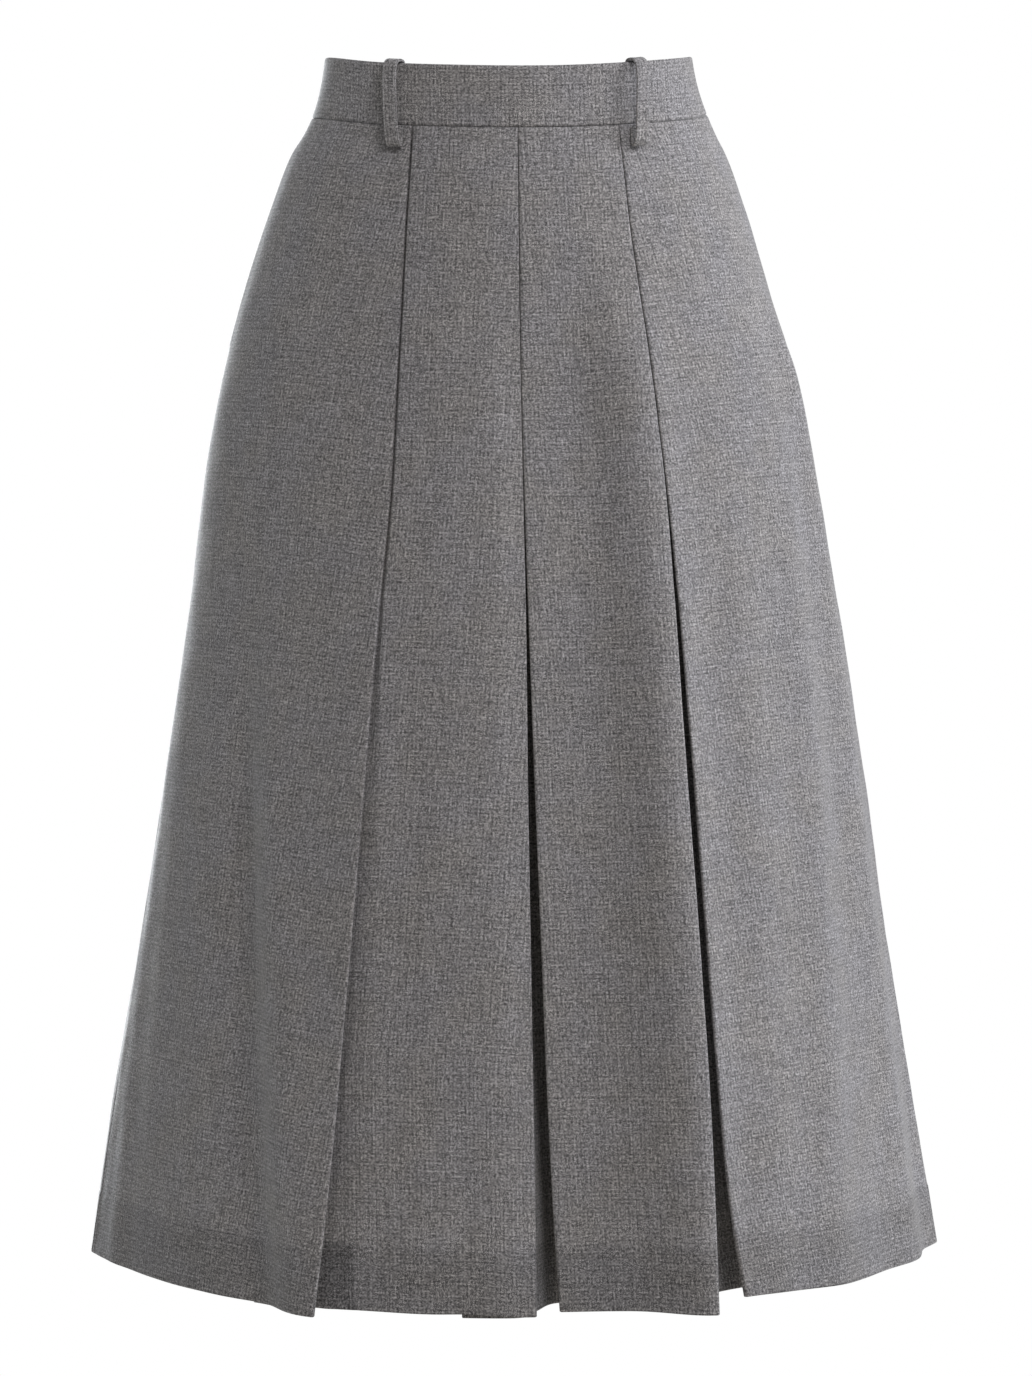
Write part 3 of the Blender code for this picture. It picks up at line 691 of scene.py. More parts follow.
def cloth_mesh(name, points, flat, finish, hem=None, painted_layer_shade=None, wall=WALL):
    """A piece of cloth through a grid of points, with a turned-up hem along columns hem[0] to hem[1]."""
    rows, columns = points.shape[:2]
    grid = np.arange(rows * columns).reshape(rows, columns)
    blocks = [grid]
    vertices, coordinates = [points.reshape(-1, 3)], [flat.reshape(-1, 2)]
    # Painted shade for each point, kept as an attribute; the hem's turned layer gets it in full.
    shade = [np.zeros(rows * columns) if painted_layer_shade is None else painted_layer_shade.reshape(-1)]
    if hem is not None:
        side = slice(hem[0], hem[1] + 1)
        turned, turned_flat = turned_hem(points, flat, side)
        own = rows * columns + np.arange(turned[..., 0].size).reshape(turned.shape[:2])
        blocks.append(np.vstack([grid[-1:, side], own]))
        vertices.append(turned.reshape(-1, 3))
        coordinates.append(turned_flat.reshape(-1, 2))
        shade.append(np.ones(own.size))
    faces = []
    for block in blocks:
        corners = [block[:-1, :-1], block[1:, :-1], block[1:, 1:], block[:-1, 1:]]
        faces += np.stack(corners, axis=-1).reshape(-1, 4).tolist()
    piece = new_piece(name, np.concatenate(vertices), faces, finish, np.concatenate(coordinates))
    painted_shade_attribute = piece.data.attributes.new("painted_layer_shade", "FLOAT", "POINT")
    painted_shade_attribute.data.foreach_set("value", np.concatenate(shade).astype(np.float32))
    solid = piece.modifiers.new("cloth thickness", "SOLIDIFY")
    solid.thickness = wall * MM
    solid.offset = 0
    solid.use_even_offset = True
    return piece


def sewn_in(piece, node):
    """The piece stands for its solid and moves with the skirt."""
    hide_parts(node)
    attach(piece, "skirt")


# ---------------------------------------------------------------------------------------------
# The front panels: suiting cut with the grain straight down, hemmed 4 cm deep. The two side
# panels end in pressed pleat edges, and the centre ones meet at the centre front.
# ---------------------------------------------------------------------------------------------

# The drops of the panels' rows of points: closer together at the waist, the hem's turn and the hem.
PANEL_DROPS = np.concatenate(
    [
        np.arange(2.2, 30, 2.8),
        np.arange(30, LENGTH - 45, 4.0),
        LENGTH - HEM_DEPTH + np.array([-3, -1, 0.2, 1.5, 3]),
        np.arange(LENGTH - 34, LENGTH - 1, 3.0),
        [LENGTH - 0.8],
    ]
).tolist()
POCKET_TOP, POCKET_END = 12.0, 156.0
POCKET_LIP, POCKET_LIP_WIDTH = 0.9, 7.0  # how far a pocket's lip stands out, and how wide it is


def spaced(start, stop, count):
    """Turns between start and stop, both left out."""
    return np.linspace(start, stop, count + 2)[1:-1]


def side_panel_row(side, edge_name, drop, columns=62):
    fold = pleat_edge(edge_name, -side, drop)
    lip = POCKET_LIP * grown(drop, POCKET_TOP, POCKET_TOP + 12) * grown(drop, POCKET_END, POCKET_END - 8)
    seam = seam_edge(side * LEFT_SIDE, -side, drop, lift=lip)
    middle = spaced(seam.turn[-1], fold.turn[0], columns)
    panel = on_panel(middle, drop, [edge_name])
    near_seam = abs(middle - side * LEFT_SIDE) * girth_step(side * LEFT_SIDE, drop)
    panel = panel._replace(out=panel.out + lip * hump(near_seam / POCKET_LIP_WIDTH))
    return joined(seam, panel, fold)


def side_right_row(drop):
    return side_panel_row(-1, "side_right", drop)


def side_left_row(drop):
    return side_panel_row(1, "side_left", drop)


def centre_left_row(drop, columns=34):
    first = reversed_place(pleat_edge("centre_left", -1, drop))
    last = pleat_edge("inner_left", 1, drop)
    turns = spaced(first.turn[-1], last.turn[0], columns)
    return joined(first, on_panel(turns, drop, ("centre_left", "inner_left")), last)


UNDERLAP_SHORT = 14.0  # the right centre panel's end lies this much short of the side panel's
STEP_CLEAR, STEP_DEEPER = 1.15, 0.85
STEP_WIDTH_HIP, STEP_WIDTH_HEM = 2.2, 22.0
UNDER_EDGE = 2.0  # from here to the side panel's edge the columns lie behind it
CREASE_DEPTH, CREASE_WIDTH = 0.45, 1.1
CREASE_STARTS, CREASE_FULL = 630.0, 690.0
CREASE_COLUMNS = np.array([-3.2, -2.3, -1.6, -1.0, -0.5, 0, 0.5, 1.0, 1.6, 2.3, 3.2])


def pressed_through(drop):
    """Where the underlay's edge shows through the right centre panel, as a crease near the hem."""
    return max(row_at(FOLDS, drop).side_right + 10, -109.5)


def centre_right_row(drop, columns=30):
    """It runs on flat behind the side panel's fold edge, where its own pleat has opened out."""
    edge, crease = row_at(FOLDS, drop).side_right, pressed_through(drop)
    last = pleat_edge("centre_right", 1, drop)
    start = turn_at(edge + UNDERLAP_SHORT - pleat_depth(drop), drop)
    under = turn_at(edge - UNDER_EDGE, drop)
    nearing = (crease - edge - UNDER_EDGE) * (np.arange(1, 13) / 12) ** 1.3
    near = turn_at(edge - UNDER_EDGE + nearing, drop)
    close = turn_at(crease + CREASE_COLUMNS, drop)
    onward = spaced(close[-1], last.turn[0], columns)
    turns = np.concatenate([[start], spaced(start, under, 8), [under], near, close, onward])
    across = plain_form(turns, drop)[:, 0]
    step_in = 2 * fold_radius(drop) + STEP_CLEAR + STEP_DEEPER * grown(drop, 1, 15)
    width = STEP_WIDTH_HIP + (STEP_WIDTH_HEM - STEP_WIDTH_HIP) * grown(drop, 250, 650)
    step = step_in * (1 - smooth_step((across - edge - 0.2) / width))
    pressed = CREASE_DEPTH * grown(drop, CREASE_STARTS, CREASE_FULL)
    step += pressed * hump((across - crease) / CREASE_WIDTH)
    return joined(on_panel(turns, drop, ("under_right", "centre_right"), step), last)


def hem_painted_shade(points, flat):
    """Painted shade over the hem: 1 where its second layer lies behind, falling to 0 above its turned
    edge.
    """
    down = flat[-1:, :, 1] - flat[:, :, 1]
    return smooth_step((HEM_DEPTH + 1.5 - down) / 2.5)


def underlap_painted_shade(points):
    """Painted shade past the right centre panel's crease, more than the hem's own: it stands for the side
    panel's shadow and the cloth lying behind.
    """
    return 1.7 * smooth_step((pressed_through(LENGTH) + 1.0 - points[..., 0]) / 3.5)


def front_panel(node, row_of, grain, flare, seam_columns=0, mirrored=False, more_painted_shade=None):
    """A panel whose rows begin at its side seam, if it has one. Its grain's column is cut straight."""
    points = cloth_rows(row_of, PANEL_DROPS)
    last = points.shape[1] - 1
    hem = (seam_columns, last)
    if mirrored:
        points, grain, hem = points[:, ::-1], last - grain, (0, last - seam_columns)
    flat = cloth_coordinates(points, grain, flare)
    # Painted shade over the hem, and more past the crease on the right centre panel.
    painted_layer_shade = hem_painted_shade(points, flat)
    if more_painted_shade:
        painted_layer_shade = painted_layer_shade * (1 + more_painted_shade(points))
    piece = cloth_mesh(f"{node}_cloth", points, flat, wool, hem, painted_layer_shade)
    sewn_in(piece, node)


front_panel("front_side_right", side_right_row, 40, 0.17, SEAM_COLUMNS)
front_panel("front_side_left", side_left_row, 40, 0.17, SEAM_COLUMNS, mirrored=True)
front_panel("front_centre_left", centre_left_row, 35, 0.07)
front_panel("front_centre_right", centre_right_row, 35, 0.09, more_painted_shade=underlap_painted_shade)


# ---------------------------------------------------------------------------------------------
# The pleat underlays: the deep piece at the back of each pleat, sewn to the turned-back edges of
# the panels on both sides of it. It only shows where the pleat hangs open.
# ---------------------------------------------------------------------------------------------

LAP = 8.0  # how far an underlay laps the cloth that it is sewn to
LAPPED, LAPPED_HEM = 1.35, 1.4  # how far behind it lies, and how much more over the hem
RISE_AT, RISE_WIDTH = 0.4, 0.11  # where across an underlay comes forward again, and from which drop
RISE_STARTS, RISE_FULL = 540.0, 700.0


def lapped_strip(strip, drop):
    """Three points that lap a strip of cloth from behind, its end's first."""
    bulk = LAPPED_HEM * over_hem(drop)
    end, inner = cloth_points(Place(*(part[[0, 2]] for part in strip)), drop)
    along = (end - inner) / np.linalg.norm(end - inner)
    back = np.array([-along[1], along[0], 0.0])
    back *= math.copysign(LAPPED + bulk, back[1]) / np.linalg.norm(back)
    return [end + along + back, end - along * LAP / 2 + back * 1.3, end - along * LAP + back * 1.7]


def underlay_row(first, last, drop, sag, rise=0.0, columns=34):
    """Points from behind one strip to behind the other, falling in where the pleat hangs open."""
    ends = lapped_strip(first, drop), lapped_strip(last, drop)
    near, far = ends[0][-1], ends[1][-1]
    share = np.linspace(0, 1, columns + 2)[1:-1, None]
    turns = first.turn[2], last.turn[2]
    flat = plain_form(np.array(turns), drop)
    between = turns[0] + (turns[1] - turns[0]) * share[:, 0]
    bulge = plain_form(between, drop) - (flat[0] + (flat[1] - flat[0]) * share)
    loose = float(grown(drop, PLEAT_OPENS - 20, PLEAT_OPENS + 180))
    fallen = sag * loose * np.sin(math.pi * share)
    fallen -= rise * grown(drop, RISE_STARTS, RISE_FULL) * hump((share - RISE_AT) / RISE_WIDTH)
    middle = near + (far - near) * share + bulge * (1 - loose)
    middle[:, 1] += fallen[:, 0]
    return np.array([*ends[0], *middle, *reversed(ends[1])])


def narrow_underlay_row(first, last, drop):
    """The same where the two strips lie almost on each other, so that it goes straight over."""
    corners = lapped_strip(first, drop) + lapped_strip(last, drop)
    stretches = [np.linspace(a, b, 4)[:3] for a, b in zip(corners, corners[1:])]
    return np.concatenate(stretches + [corners[-1:]])


def right_underlay_row(drop):
    return narrow_underlay_row(reversed_place(side_right_row(drop)), centre_right_row(drop), drop)


def centre_underlay_row(drop):
    first, last = reversed_place(centre_right_row(drop)), centre_left_row(drop)
    return underlay_row(first, last, drop, sag=22.0, rise=24.0)


def left_underlay_row(drop):
    first, last = reversed_place(centre_left_row(drop)), reversed_place(side_left_row(drop))
    return underlay_row(first, last, drop, sag=10.0)


def underlay(node, row_of):
    points = np.array([row_of(drop) for drop in PANEL_DROPS])
    flat = cloth_coordinates(points, points.shape[1] // 2, 0.04) + [700.0, 0.0]
    hem = (0, points.shape[1] - 1)
    # The hem's painted shade, as on the front panels.
    piece = cloth_mesh(f"{node}_cloth", points, flat, wool, hem, hem_painted_shade(points, flat))
    sewn_in(piece, node)


underlay("pleat_underlay_right", right_underlay_row)
underlay("pleat_underlay_centre", centre_underlay_row)
underlay("pleat_underlay_left", left_underlay_row)


# ---------------------------------------------------------------------------------------------
# The back: two panels of suiting joined by the centre back seam, each taken in with a dart that
# ends over the hip, and hemmed like the front.
# ---------------------------------------------------------------------------------------------

DART_TURN, DART_END, DART_DEPTH = math.radians(142), 118.0, 0.9
DART_COLUMNS = np.array([-2.4, -1.2, -0.6, 0.0, 0.6, 1.2, 2.4])
DART_BESIDE = 3.5  # where the panel's evenly spaced columns begin beside a dart


def back_row(side, drop, columns=92):
    """From the side seam to the centre back seam, with the dart's stitched line pressed in."""
    seam = seam_edge(side * LEFT_SIDE, side, drop)
    centre = reversed_place(seam_edge(side * BACK, -side, drop, allowance=15.0))
    dart = side * DART_TURN
    step = girth_step(dart, drop)
    beside = DART_BESIDE * side / step
    before = spaced(seam.turn[-1], dart - beside, columns // 2)
    after = spaced(dart + beside, centre.turn[0], columns // 2)
    turns = np.concatenate([before, dart + side * DART_COLUMNS / step, after])
    away = (turns - dart) * step
    fading = 1 - grown(drop, 0.7 * DART_END, 1.05 * DART_END)
    groove = fading * (DART_DEPTH * hump(away / 0.7) - 0.25 * hump(away / 4))
    panel = on_panel(turns, drop, ())
    return joined(seam, panel._replace(out=panel.out - groove), centre)


for side, name in ((1, "back_left"), (-1, "back_right")):
    points = cloth_rows(lambda drop: back_row(side, drop), PANEL_DROPS)
    if side < 0:
        points = points[:, ::-1]
    flat = cloth_coordinates(points, grain=60, flare=0.20) + [1500.0 + 400 * side, 0.0]
    hem = (SEAM_COLUMNS, points.shape[1] - 1 - SEAM_COLUMNS)
    # The hem's painted shade, as on the front panels.
    piece = cloth_mesh(f"{name}_cloth", points, flat, wool, hem, hem_painted_shade(points, flat))
    sewn_in(piece, name)


# ---------------------------------------------------------------------------------------------
# The waistband: a shaped band folded over at its upper edge round a stiffener, seamed at the
# sides and sewn down flush with the panels. It is 4 cm high.
# ---------------------------------------------------------------------------------------------

BAND_TOP = -40.0
BAND_RADIUS = 1.1
BAND_ALLOWANCE = 6.0
BAND_GIRTH = 110.0  # millimetres of girth for a radian, near enough for the band's unevenness
BAND_SLIP = 1.9  # how far its upper edge stays down where the left side seam sits up


def slipped(turn, drop):
    """How much lower the band sits here than the waist's lift would have it."""
    side = WAIST_ASKEW[0]
    slip = BAND_SLIP * hump((np.degrees(turn) - side.degrees) / side.spread)
    return slip * np.clip(drop / BAND_TOP, 0, 1)


def band_rows(start, stop, columns):
    """Rows of the band from its lower edge, up the outside, over the top and down the inside."""
    path = []
    for angle in np.linspace(math.pi, 0, 5):
        drop = -(0.1 + WALL / 2 + WAIST_SEAM_RADIUS * (1 - math.sin(angle)))
        path.append((WAIST_SEAM_RADIUS * (math.cos(angle) - 1), drop))
    path += [(0.0, drop) for drop in np.linspace(-3.5, BAND_TOP + 3.0, 16)]
    for angle in np.linspace(0, math.pi, 7):
        drop = BAND_TOP + WALL / 2 + BAND_RADIUS * (1 - math.sin(angle))
        path.append((BAND_RADIUS * (math.cos(angle) - 1), drop))
    path += [(-2 * BAND_RADIUS, drop) for drop in np.linspace(BAND_TOP + 4.0, -1.0, 8)]
    rows = []
    for out, drop in path:
        first = seam_edge(*start, drop, lift=out, allowance=BAND_ALLOWANCE)
        last = reversed_place(seam_edge(*stop, drop, lift=out, allowance=BAND_ALLOWANCE))
        turns = spaced(first.turn[-1], last.turn[0], columns)
        girth = turns * BAND_GIRTH
        uneven = 0.10 * wander(girth, drop, UNEVEN) + 0.12 * wander(girth, drop, RIPPLES)
        row = joined(first, laid(turns, out + uneven), last)
        rows.append(cloth_points(row._replace(lower=slipped(row.turn, drop)), drop))
    return np.array(rows[::-1])


# Each part of the band: the seams that it runs between, each with the direction into the part, its
# columns of points and its flat cut.
BANDS = {
    "waistband_front": ((RIGHT_SIDE, 1), (LEFT_SIDE, -1), 120, (0.376, 0.083, 0.0295)),
    "waistband_back_left": ((LEFT_SIDE, 1), (BACK, -1), 60, (0.195, 0.084, 0.0153)),
    "waistband_back_right": ((-BACK, 1), (RIGHT_SIDE, -1), 60, (0.195, 0.084, 0.0153)),
}
for number, (node, (start, stop, columns, cut)) in enumerate(BANDS.items()):
    points = band_rows(start, stop, columns)
    flat = cloth_coordinates(points, points.shape[1] // 2, 0.0) + [310.0 * number + 90, 2000.0]
    piece = cloth_mesh(f"{node}_cloth", points, flat, wool)
    sewn_in(piece, node)


# ---------------------------------------------------------------------------------------------
# The belt loops: strips of the suiting folded in four, 1 cm wide and edge-stitched. Each one's
# upper end goes over the band's edge, and its lower end turns back up into the waist seam.
# ---------------------------------------------------------------------------------------------

LOOP_WIDTH, LOOP_WALL = 10.0, 1.6
LOOP_ACROSS = 77.7

LoopPoint = namedtuple("LoopPoint", "out drop")
LOOP_PATH = (
    LoopPoint(-3.7, -35.0),
    LoopPoint(-3.5, -39.0),
    LoopPoint(-2.3, -41.0),
    LoopPoint(0.0, -41.7),
    LoopPoint(3.5, -41.4),
    LoopPoint(6.6, -39.4),
    LoopPoint(8.4, -36.0),
    LoopPoint(9.4, -30.0),
    LoopPoint(9.6, -15.0),
    LoopPoint(9.4, 0.0),
    LoopPoint(8.9, 8.5),
    LoopPoint(7.3, 14.2),
    LoopPoint(5.0, 15.6),
    LoopPoint(3.0, 14.0),
    LoopPoint(2.2, 9.0),
    LoopPoint(1.9, 2.5),
)
PathPoint = namedtuple("PathPoint", "along out drop")


def measured_path(path):
    """The path with each point's length along it."""
    steps = [math.dist(a, b) for a, b in zip(path, path[1:])]
    lengths = np.concatenate([[0], np.cumsum(steps)])
    return tuple(PathPoint(float(length), *point) for length, point in zip(lengths, path))


def loop_frames(side, rear, count=84):
    """Points down the middle of a loop, with the directions across it and straight out of it."""
    path = measured_path(LOOP_PATH)
    lengths = np.linspace(0, path[-1].along, count)
    middles, acrosses = [], []
    for length in lengths:
        place = row_at(path, float(length))
        turn = float(turn_at(side * LOOP_ACROSS, place.drop))
        if rear:
            turn = side * BACK - turn
        middle = plain_form(turn, place.drop) + outward(turn, place.drop) * place.out
        middles.append(middle - [0, 0, float(slipped(turn, place.drop))])
        before, after = plain_form(np.array([turn - SLOPE_TURN, turn + SLOPE_TURN]), BAND_TOP / 2)
        acrosses.append((after - before) / np.linalg.norm(after - before))
    middles, acrosses = np.array(middles), np.array(acrosses)
    normals = np.cross(np.gradient(middles, axis=0), acrosses)
    normals /= np.linalg.norm(normals, axis=1, keepdims=True)
    return lengths, middles, acrosses, normals


def rounded_strip(width, wall, radius=0.62):
    """The outline of a folded strip, as (across, out, length round it)."""
    corners = []
    for quarter in range(4):
        angles = np.radians(np.linspace(0, 90, 4) + 90 * quarter)
        x = math.copysign(width / 2 - radius, (1, -1, -1, 1)[quarter])
        z = math.copysign(wall / 2 - radius, (1, 1, -1, -1)[quarter])
        corners += [(x + radius * math.cos(a), z + radius * math.sin(a)) for a in angles]
        if quarter in (0, 2):
            flat = np.linspace(1, -1, 8)[1:-1] * (1 if quarter == 0 else -1)
            corners += [(t * (width / 2 - radius), math.copysign(wall / 2, z)) for t in flat]
    corners = np.array(corners)
    steps = np.linalg.norm(corners - np.roll(corners, 1, axis=0), axis=1)
    return corners, np.cumsum(steps)


def belt_loop(node, side, rear=False):
    lengths, middles, acrosses, normals = loop_frames(side, rear)
    outline, round_it = rounded_strip(LOOP_WIDTH, LOOP_WALL)
    across, out = outline[None, :, :1], outline[None, :, 1:]
    grid = middles[:, None] + acrosses[:, None] * across + normals[:, None] * out
    rows, columns = grid.shape[:2]
    number = np.arange(rows * columns).reshape(rows, columns)
    after = np.roll(number, -1, axis=1)
    faces = np.stack([number[:-1], after[:-1], after[1:], number[1:]], axis=-1).reshape(-1, 4).tolist()
    faces += [number[0, ::-1].tolist(), number[-1].tolist()]
    flat = np.stack(np.broadcast_arrays(round_it + 40.0 * side, lengths[:, None] + 2600), axis=-1)
    piece = new_piece(f"{node}_cloth", grid.reshape(-1, 3), faces, wool, flat.reshape(-1, 2))
    # The loops get no painted shade: the attribute stays 0.
    piece.data.attributes.new("painted_layer_shade", "FLOAT", "POINT")
    sewn_in(piece, node)
    edge_stitches(f"{node}_stitches", lengths, middles, acrosses, normals)


STITCH_PITCH, STITCH_LENGTH, STITCH_RADIUS = 2.3, 1.7, 0.16
STITCH_INSET, STITCH_SUNK = 1.1, 0.05

thread = Finish("grey thread", (0.40, 0.40, 0.40), 0.6).material

# A round bead of a few faces, 1 mm in radius, which is stretched into stitches and teeth.
bpy.ops.mesh.primitive_uv_sphere_add(segments=8, ring_count=6, radius=1.0)
bead = bpy.context.object.data
bpy.data.objects.remove(bpy.context.object)


def beads(name, places, finish):
    """One mesh of many beads, each at a place given by a point and 3 axes."""
    vertices = np.array([vertex.co for vertex in bead.vertices])
    points, faces = [], []
    for number, (point, axes) in enumerate(places):
        points.append(point + vertices @ axes)
        start = number * len(vertices)
        faces += [[start + corner for corner in face.vertices] for face in bead.polygons]
    piece = new_piece(name, np.concatenate(points), faces, finish)
    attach(piece, "skirt")


def edge_stitches(name, lengths, middles, acrosses, normals):
    """Two rows of stitches down a loop, near its edges and a little sunk in."""
    places = []
    tangents = np.gradient(middles, axis=0)
    tangents /= np.linalg.norm(tangents, axis=1, keepdims=True)
    vectors = np.concatenate([middles, acrosses, normals, tangents], axis=1)
    for edge in (-1, 1):
        for length in np.arange(8.0, lengths[-1] - 3, STITCH_PITCH):
            here = np.array([np.interp(length, lengths, column) for column in vectors.T])
            middle, across, out, along = here.reshape(4, 3)
            aside = across * edge * (LOOP_WIDTH / 2 - STITCH_INSET)
            axes = [across * STITCH_RADIUS, out * STITCH_RADIUS, along * STITCH_LENGTH / 2]
            places.append((middle + aside + out * (LOOP_WALL / 2 - STITCH_SUNK), np.array(axes)))
    beads(name, places, thread)


belt_loop("belt_loop_front_right", -1)
belt_loop("belt_loop_front_left", 1)
belt_loop("belt_loop_back_right", -1, rear=True)
belt_loop("belt_loop_back_left", 1, rear=True)


# ---------------------------------------------------------------------------------------------
# The pocket bags: smooth twill pocketing, hanging from the waist seam behind each side pocket's
# slit. Each is sewn shut round its lower end.
# ---------------------------------------------------------------------------------------------

BAG_WALL, BAG_OUT, BAG_CLEAR = 1.1, -2.7, 6.0
TWILL_PITCH = 0.0009

# How much of the bag's width is rounded off beside the seam and beside the pleat.
BagRow = namedtuple("BagRow", "drop seam_side pleat_side")
POCKET_BAG = (
    BagRow(3, 0.03, 0.0),
    BagRow(58, 0.02, 0.0),
    BagRow(135, 0.02, 0.0),
    BagRow(165, 0.02, 0.02),
    BagRow(185, 0.06, 0.05),
    BagRow(205, 0.15, 0.12),
    BagRow(222, 0.27, 0.24),
    BagRow(233, 0.40, 0.40),
)


def pocketing():
    """Fine twill, whose ribs run slantwise."""
    made = Finish("smooth twill pocketing", (0.12, 0.12, 0.128), 0.7, Sheen_Weight=0.1)
    across, along = made.cloth_place()
    made.relief(0.5 + ((across + along) * (1 / TWILL_PITCH)).wave() * 0.3, 0.0001)
    return made.material


def bag_row(side, edge_name, drop):
    """Points from the side seam to behind the pleat, or the other way round on the left."""
    cut_away = row_at(POCKET_BAG, drop)
    seam = side * LEFT_SIDE
    edge = getattr(row_at(FOLDS, drop), edge_name)
    width = float(turn_at(edge + side * (pleat_depth(drop) + BAG_CLEAR), drop)) - seam
    start, stop = seam + width * cut_away.seam_side, seam + width * (1 - cut_away.pleat_side)
    return cloth_points(laid(np.linspace(start, stop, 30)[::-side], BAG_OUT), drop)


lining = pocketing()
for side, name in ((-1, "right"), (1, "left")):
    drops = np.linspace(POCKET_BAG[0].drop, POCKET_BAG[-1].drop, 70).tolist()
    points = np.array([bag_row(side, f"side_{name}", drop) for drop in drops])
    flat = cloth_coordinates(points, grain=15, flare=0.0)
    piece = cloth_mesh(f"pocket_bag_{name}_cloth", points, flat, lining, wall=BAG_WALL)
    cut = (0.105, 0.235, 0.0215)
    sewn_in(piece, f"pocket_bag_{name}")


# ---------------------------------------------------------------------------------------------
# The zip: a concealed zip sewn in behind the centre back seam. Its tape and coil are inside, and
# only the slider shows outside, at the top of the band.
# ---------------------------------------------------------------------------------------------

TAPE_OUT_BAND, TAPE_OUT = -3.5, -2.5
TAPE_HALF_WIDTH, TAPE_WALL = 12.0, 0.9
COIL_PITCH, COIL_HALF_WIDTH, COIL_RADIUS, COIL_SHIFT = 1.5, 2.0, 0.55, 0.7


def tape_out(drop):
    """How far out the tape lies: further in behind the band than behind the panels."""
    return TAPE_OUT_BAND + (TAPE_OUT - TAPE_OUT_BAND) * float(grown(drop, 1, 14))


def tape_row(drop):
    half = TAPE_HALF_WIDTH / girth_step(math.pi, drop)
    return cloth_points(laid(np.linspace(BACK - half, BACK + half, 12), tape_out(drop)), drop)


tape_finish = Finish("woven zip tape", (0.075, 0.075, 0.080), 0.85).material
points = np.array([tape_row(drop) for drop in np.linspace(-39, 200, 90).tolist()])
flat = cloth_coordinates(points, grain=6, flare=0.0)
tape = cloth_mesh("zip_tape_cloth", points, flat, tape_finish, wall=TAPE_WALL)
sewn_in(tape, "zip_tape")

coil_places = []
for number, drop in enumerate(np.arange(-36, 196, COIL_PITCH).tolist()):
    normal = outward(BACK, drop)
    along = np.cross((1, 0, 0), normal)
    middle = plain_form(BACK, drop) + normal * (tape_out(drop) - TAPE_WALL / 2 - COIL_RADIUS * 0.7)
    axes = [(COIL_HALF_WIDTH, 0, 0), normal * COIL_RADIUS, along * COIL_PITCH * 0.42]
    coil_places.append((middle + [COIL_SHIFT * (-1) ** number, 0, 0], np.array(axes)))
beads("zip_coil", coil_places, tape_finish)


# ---------------------------------------------------------------------------------------------
# The slider and its pull: cast in zinc and plated in satin dark nickel. The pull hangs from a bar
# between the slider's two posts and swings on it, so that it can be lifted.
# ---------------------------------------------------------------------------------------------

BAR_PLACE = (0.0, 98.82 * MM, 9.79 * MM)
BAR_RADIUS, BAR_LENGTH = 0.7, 5.0
SLIDER_TILT = math.radians(7.92)  # it lies flat on the band

nickel = Finish("satin dark nickel", (0.42, 0.42, 0.44), 0.32, Metallic=1.0)
spot = nickel.node("ShaderNodeTexCoord").outputs["Object"]
drawn_out = nickel.node("ShaderNodeMapping", {}, {"Vector": spot, "Scale": (9000, 9000, 400)})
stretched = {"Vector": drawn_out.outputs[0], "Scale": 1.0, "Detail": 1.0}
grain = nickel.node("ShaderNodeTexNoise", {}, stretched)
nickel.feed(nickel.shader.inputs["Roughness"], Value(nickel, grain.outputs["Fac"]) * 0.16 + 0.26)


def pick_edges(part, wanted):
    """Selects the edges whose two ends pass the test, and goes into edit mode."""
    bpy.ops.object.mode_set(mode="EDIT")
    bpy.ops.mesh.select_mode(type="EDGE")
    bpy.ops.mesh.select_all(action="DESELECT")
    bpy.ops.object.mode_set(mode="OBJECT")
    for edge in part.data.edges:
        edge.select = wanted(*(part.data.vertices[end].co / MM for end in edge.vertices))
    bpy.ops.object.mode_set(mode="EDIT")


def block(middle, size):
    """A block whose middle and size are given in millimetres from the bar's middle."""
    bpy.ops.mesh.primitive_cube_add(size=MM)
    bpy.ops.object.mode_set(mode="EDIT")
    bpy.ops.transform.resize(value=size, center_override=(0, 0, 0))
    bpy.ops.transform.translate(value=[offset * MM for offset in middle])
    bpy.ops.object.mode_set(mode="OBJECT")
    return bpy.context.object


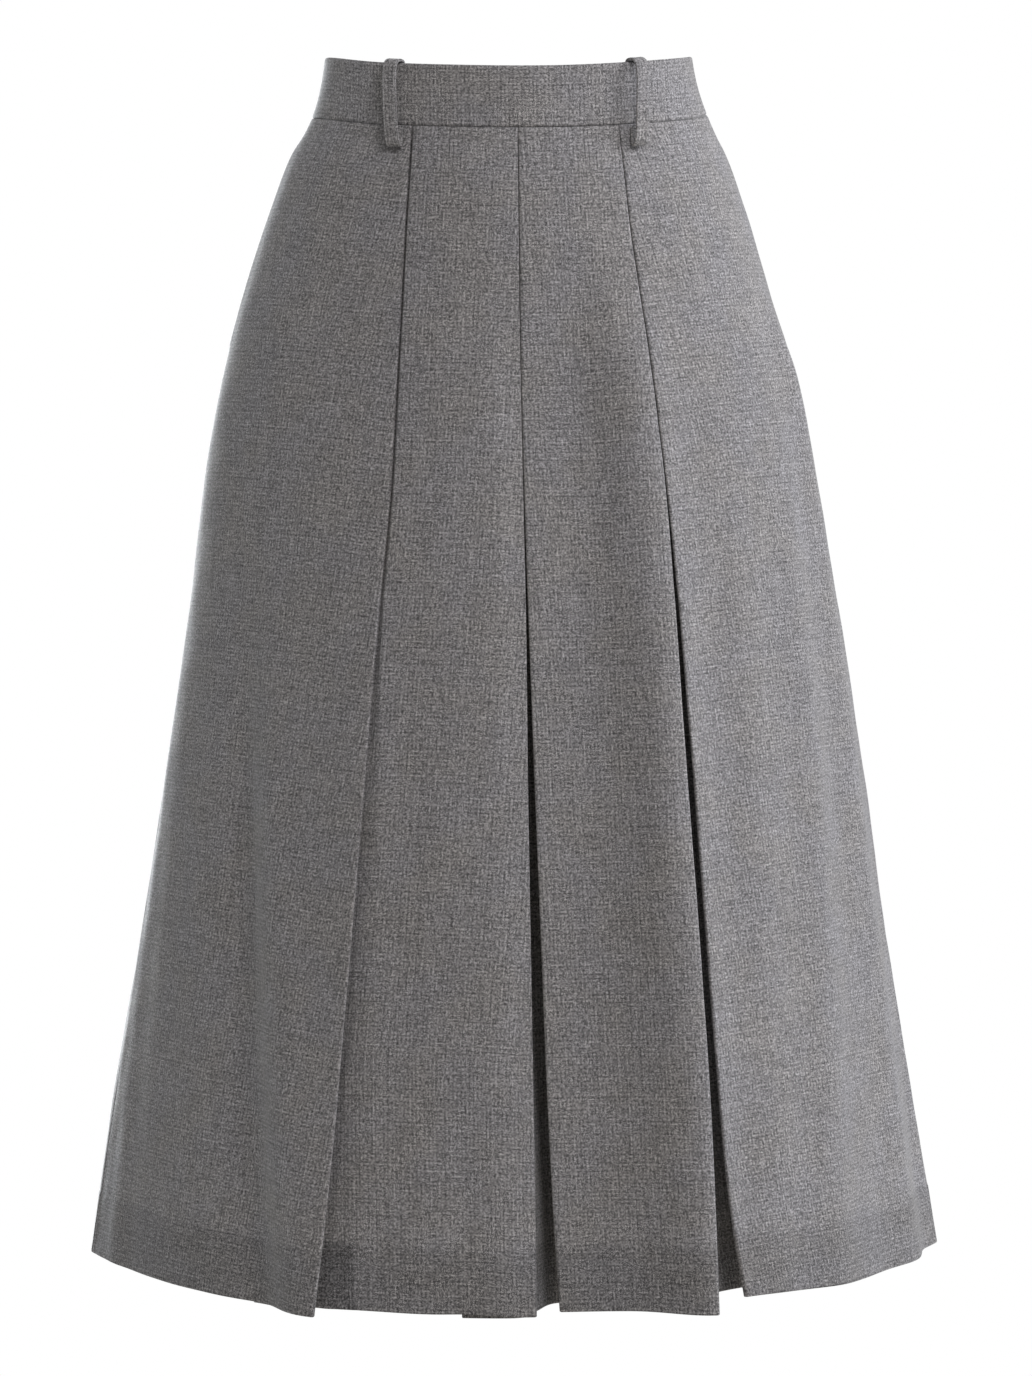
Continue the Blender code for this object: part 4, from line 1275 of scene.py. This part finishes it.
def rod(radius, length, bore=0.0):
    """A rod, or a tube, that lies across the zip round the bar's middle."""
    bpy.ops.mesh.primitive_cylinder_add(
        vertices=32, radius=radius * MM, depth=length * MM, end_fill_type="NOTHING" if bore else "NGON"
    )
    part = bpy.context.object
    bpy.ops.object.mode_set(mode="EDIT")
    bpy.ops.transform.rotate(value=math.pi / 2, orient_axis="Y", center_override=(0, 0, 0))
    bpy.ops.object.mode_set(mode="OBJECT")
    if bore:
        wall = part.modifiers.new("tube wall", "SOLIDIFY")
        wall.thickness, wall.offset = (radius - bore) * MM, -1
        bpy.ops.object.modifier_apply(modifier=wall.name)
    return part


def cast_in_one(name, parts, tilt, body):
    """Rounds the parts' edges, joins them and puts them at the bar."""
    for part in parts:
        bpy.context.view_layer.objects.active = part
        edges = part.modifiers.new("rounded edges", "BEVEL")
        edges.width, edges.segments, edges.limit_method = 0.22 * MM, 2, "ANGLE"
        bpy.ops.object.modifier_apply(modifier=edges.name)
    for part in parts:
        part.select_set(True)
    bpy.ops.object.join()
    made = bpy.context.object
    made.name = name
    bpy.ops.object.mode_set(mode="EDIT")
    bpy.ops.mesh.select_all(action="SELECT")
    bpy.ops.transform.rotate(value=-tilt, orient_axis="X", center_override=(0, 0, 0))
    bpy.ops.transform.translate(value=BAR_PLACE)
    bpy.ops.object.mode_set(mode="OBJECT")
    bpy.ops.object.shade_smooth_by_angle(angle=math.radians(35))
    made.data.materials.append(nickel.material)
    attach(made, body)
    bpy.ops.object.select_all(action="DESELECT")
    return made


# The slider narrows downwards, and the pull's lower corners are rounded off.
slider_body = block((0, -3.6, 0), (7.0, 2.6, 9.0))
pick_edges(slider_body, lambda a, b: a.z < -4 and b.z < -4)
bpy.ops.transform.resize(value=(0.72, 1, 1), center_override=(0, 0, 0))
bpy.ops.object.mode_set(mode="OBJECT")
bpy.ops.object.select_all(action="DESELECT")
posts = [block((2.7 * side, -0.8, 0), (1.0, 3.6, 2.0)) for side in (-1, 1)]
bar = rod(BAR_RADIUS, BAR_LENGTH)
slider = cast_in_one("zip_slider_metal", [slider_body, *posts, bar], SLIDER_TILT, "skirt")
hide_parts("zip_slider")

pull_tab = block((0, 0, -11.07), (3.8, 1.2, 19.86))
pick_edges(pull_tab, lambda a, b: a.z < -20 and b.z < -20 and a.x * b.x > 0)
bpy.ops.mesh.bevel(offset=1.5 * MM, segments=5)
bpy.ops.object.mode_set(mode="OBJECT")
pull = cast_in_one("zip_pull_metal", [pull_tab, rod(1.9, 3.2, bore=1.0)], 0.0, "zip_pull")
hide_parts("zip_pull")
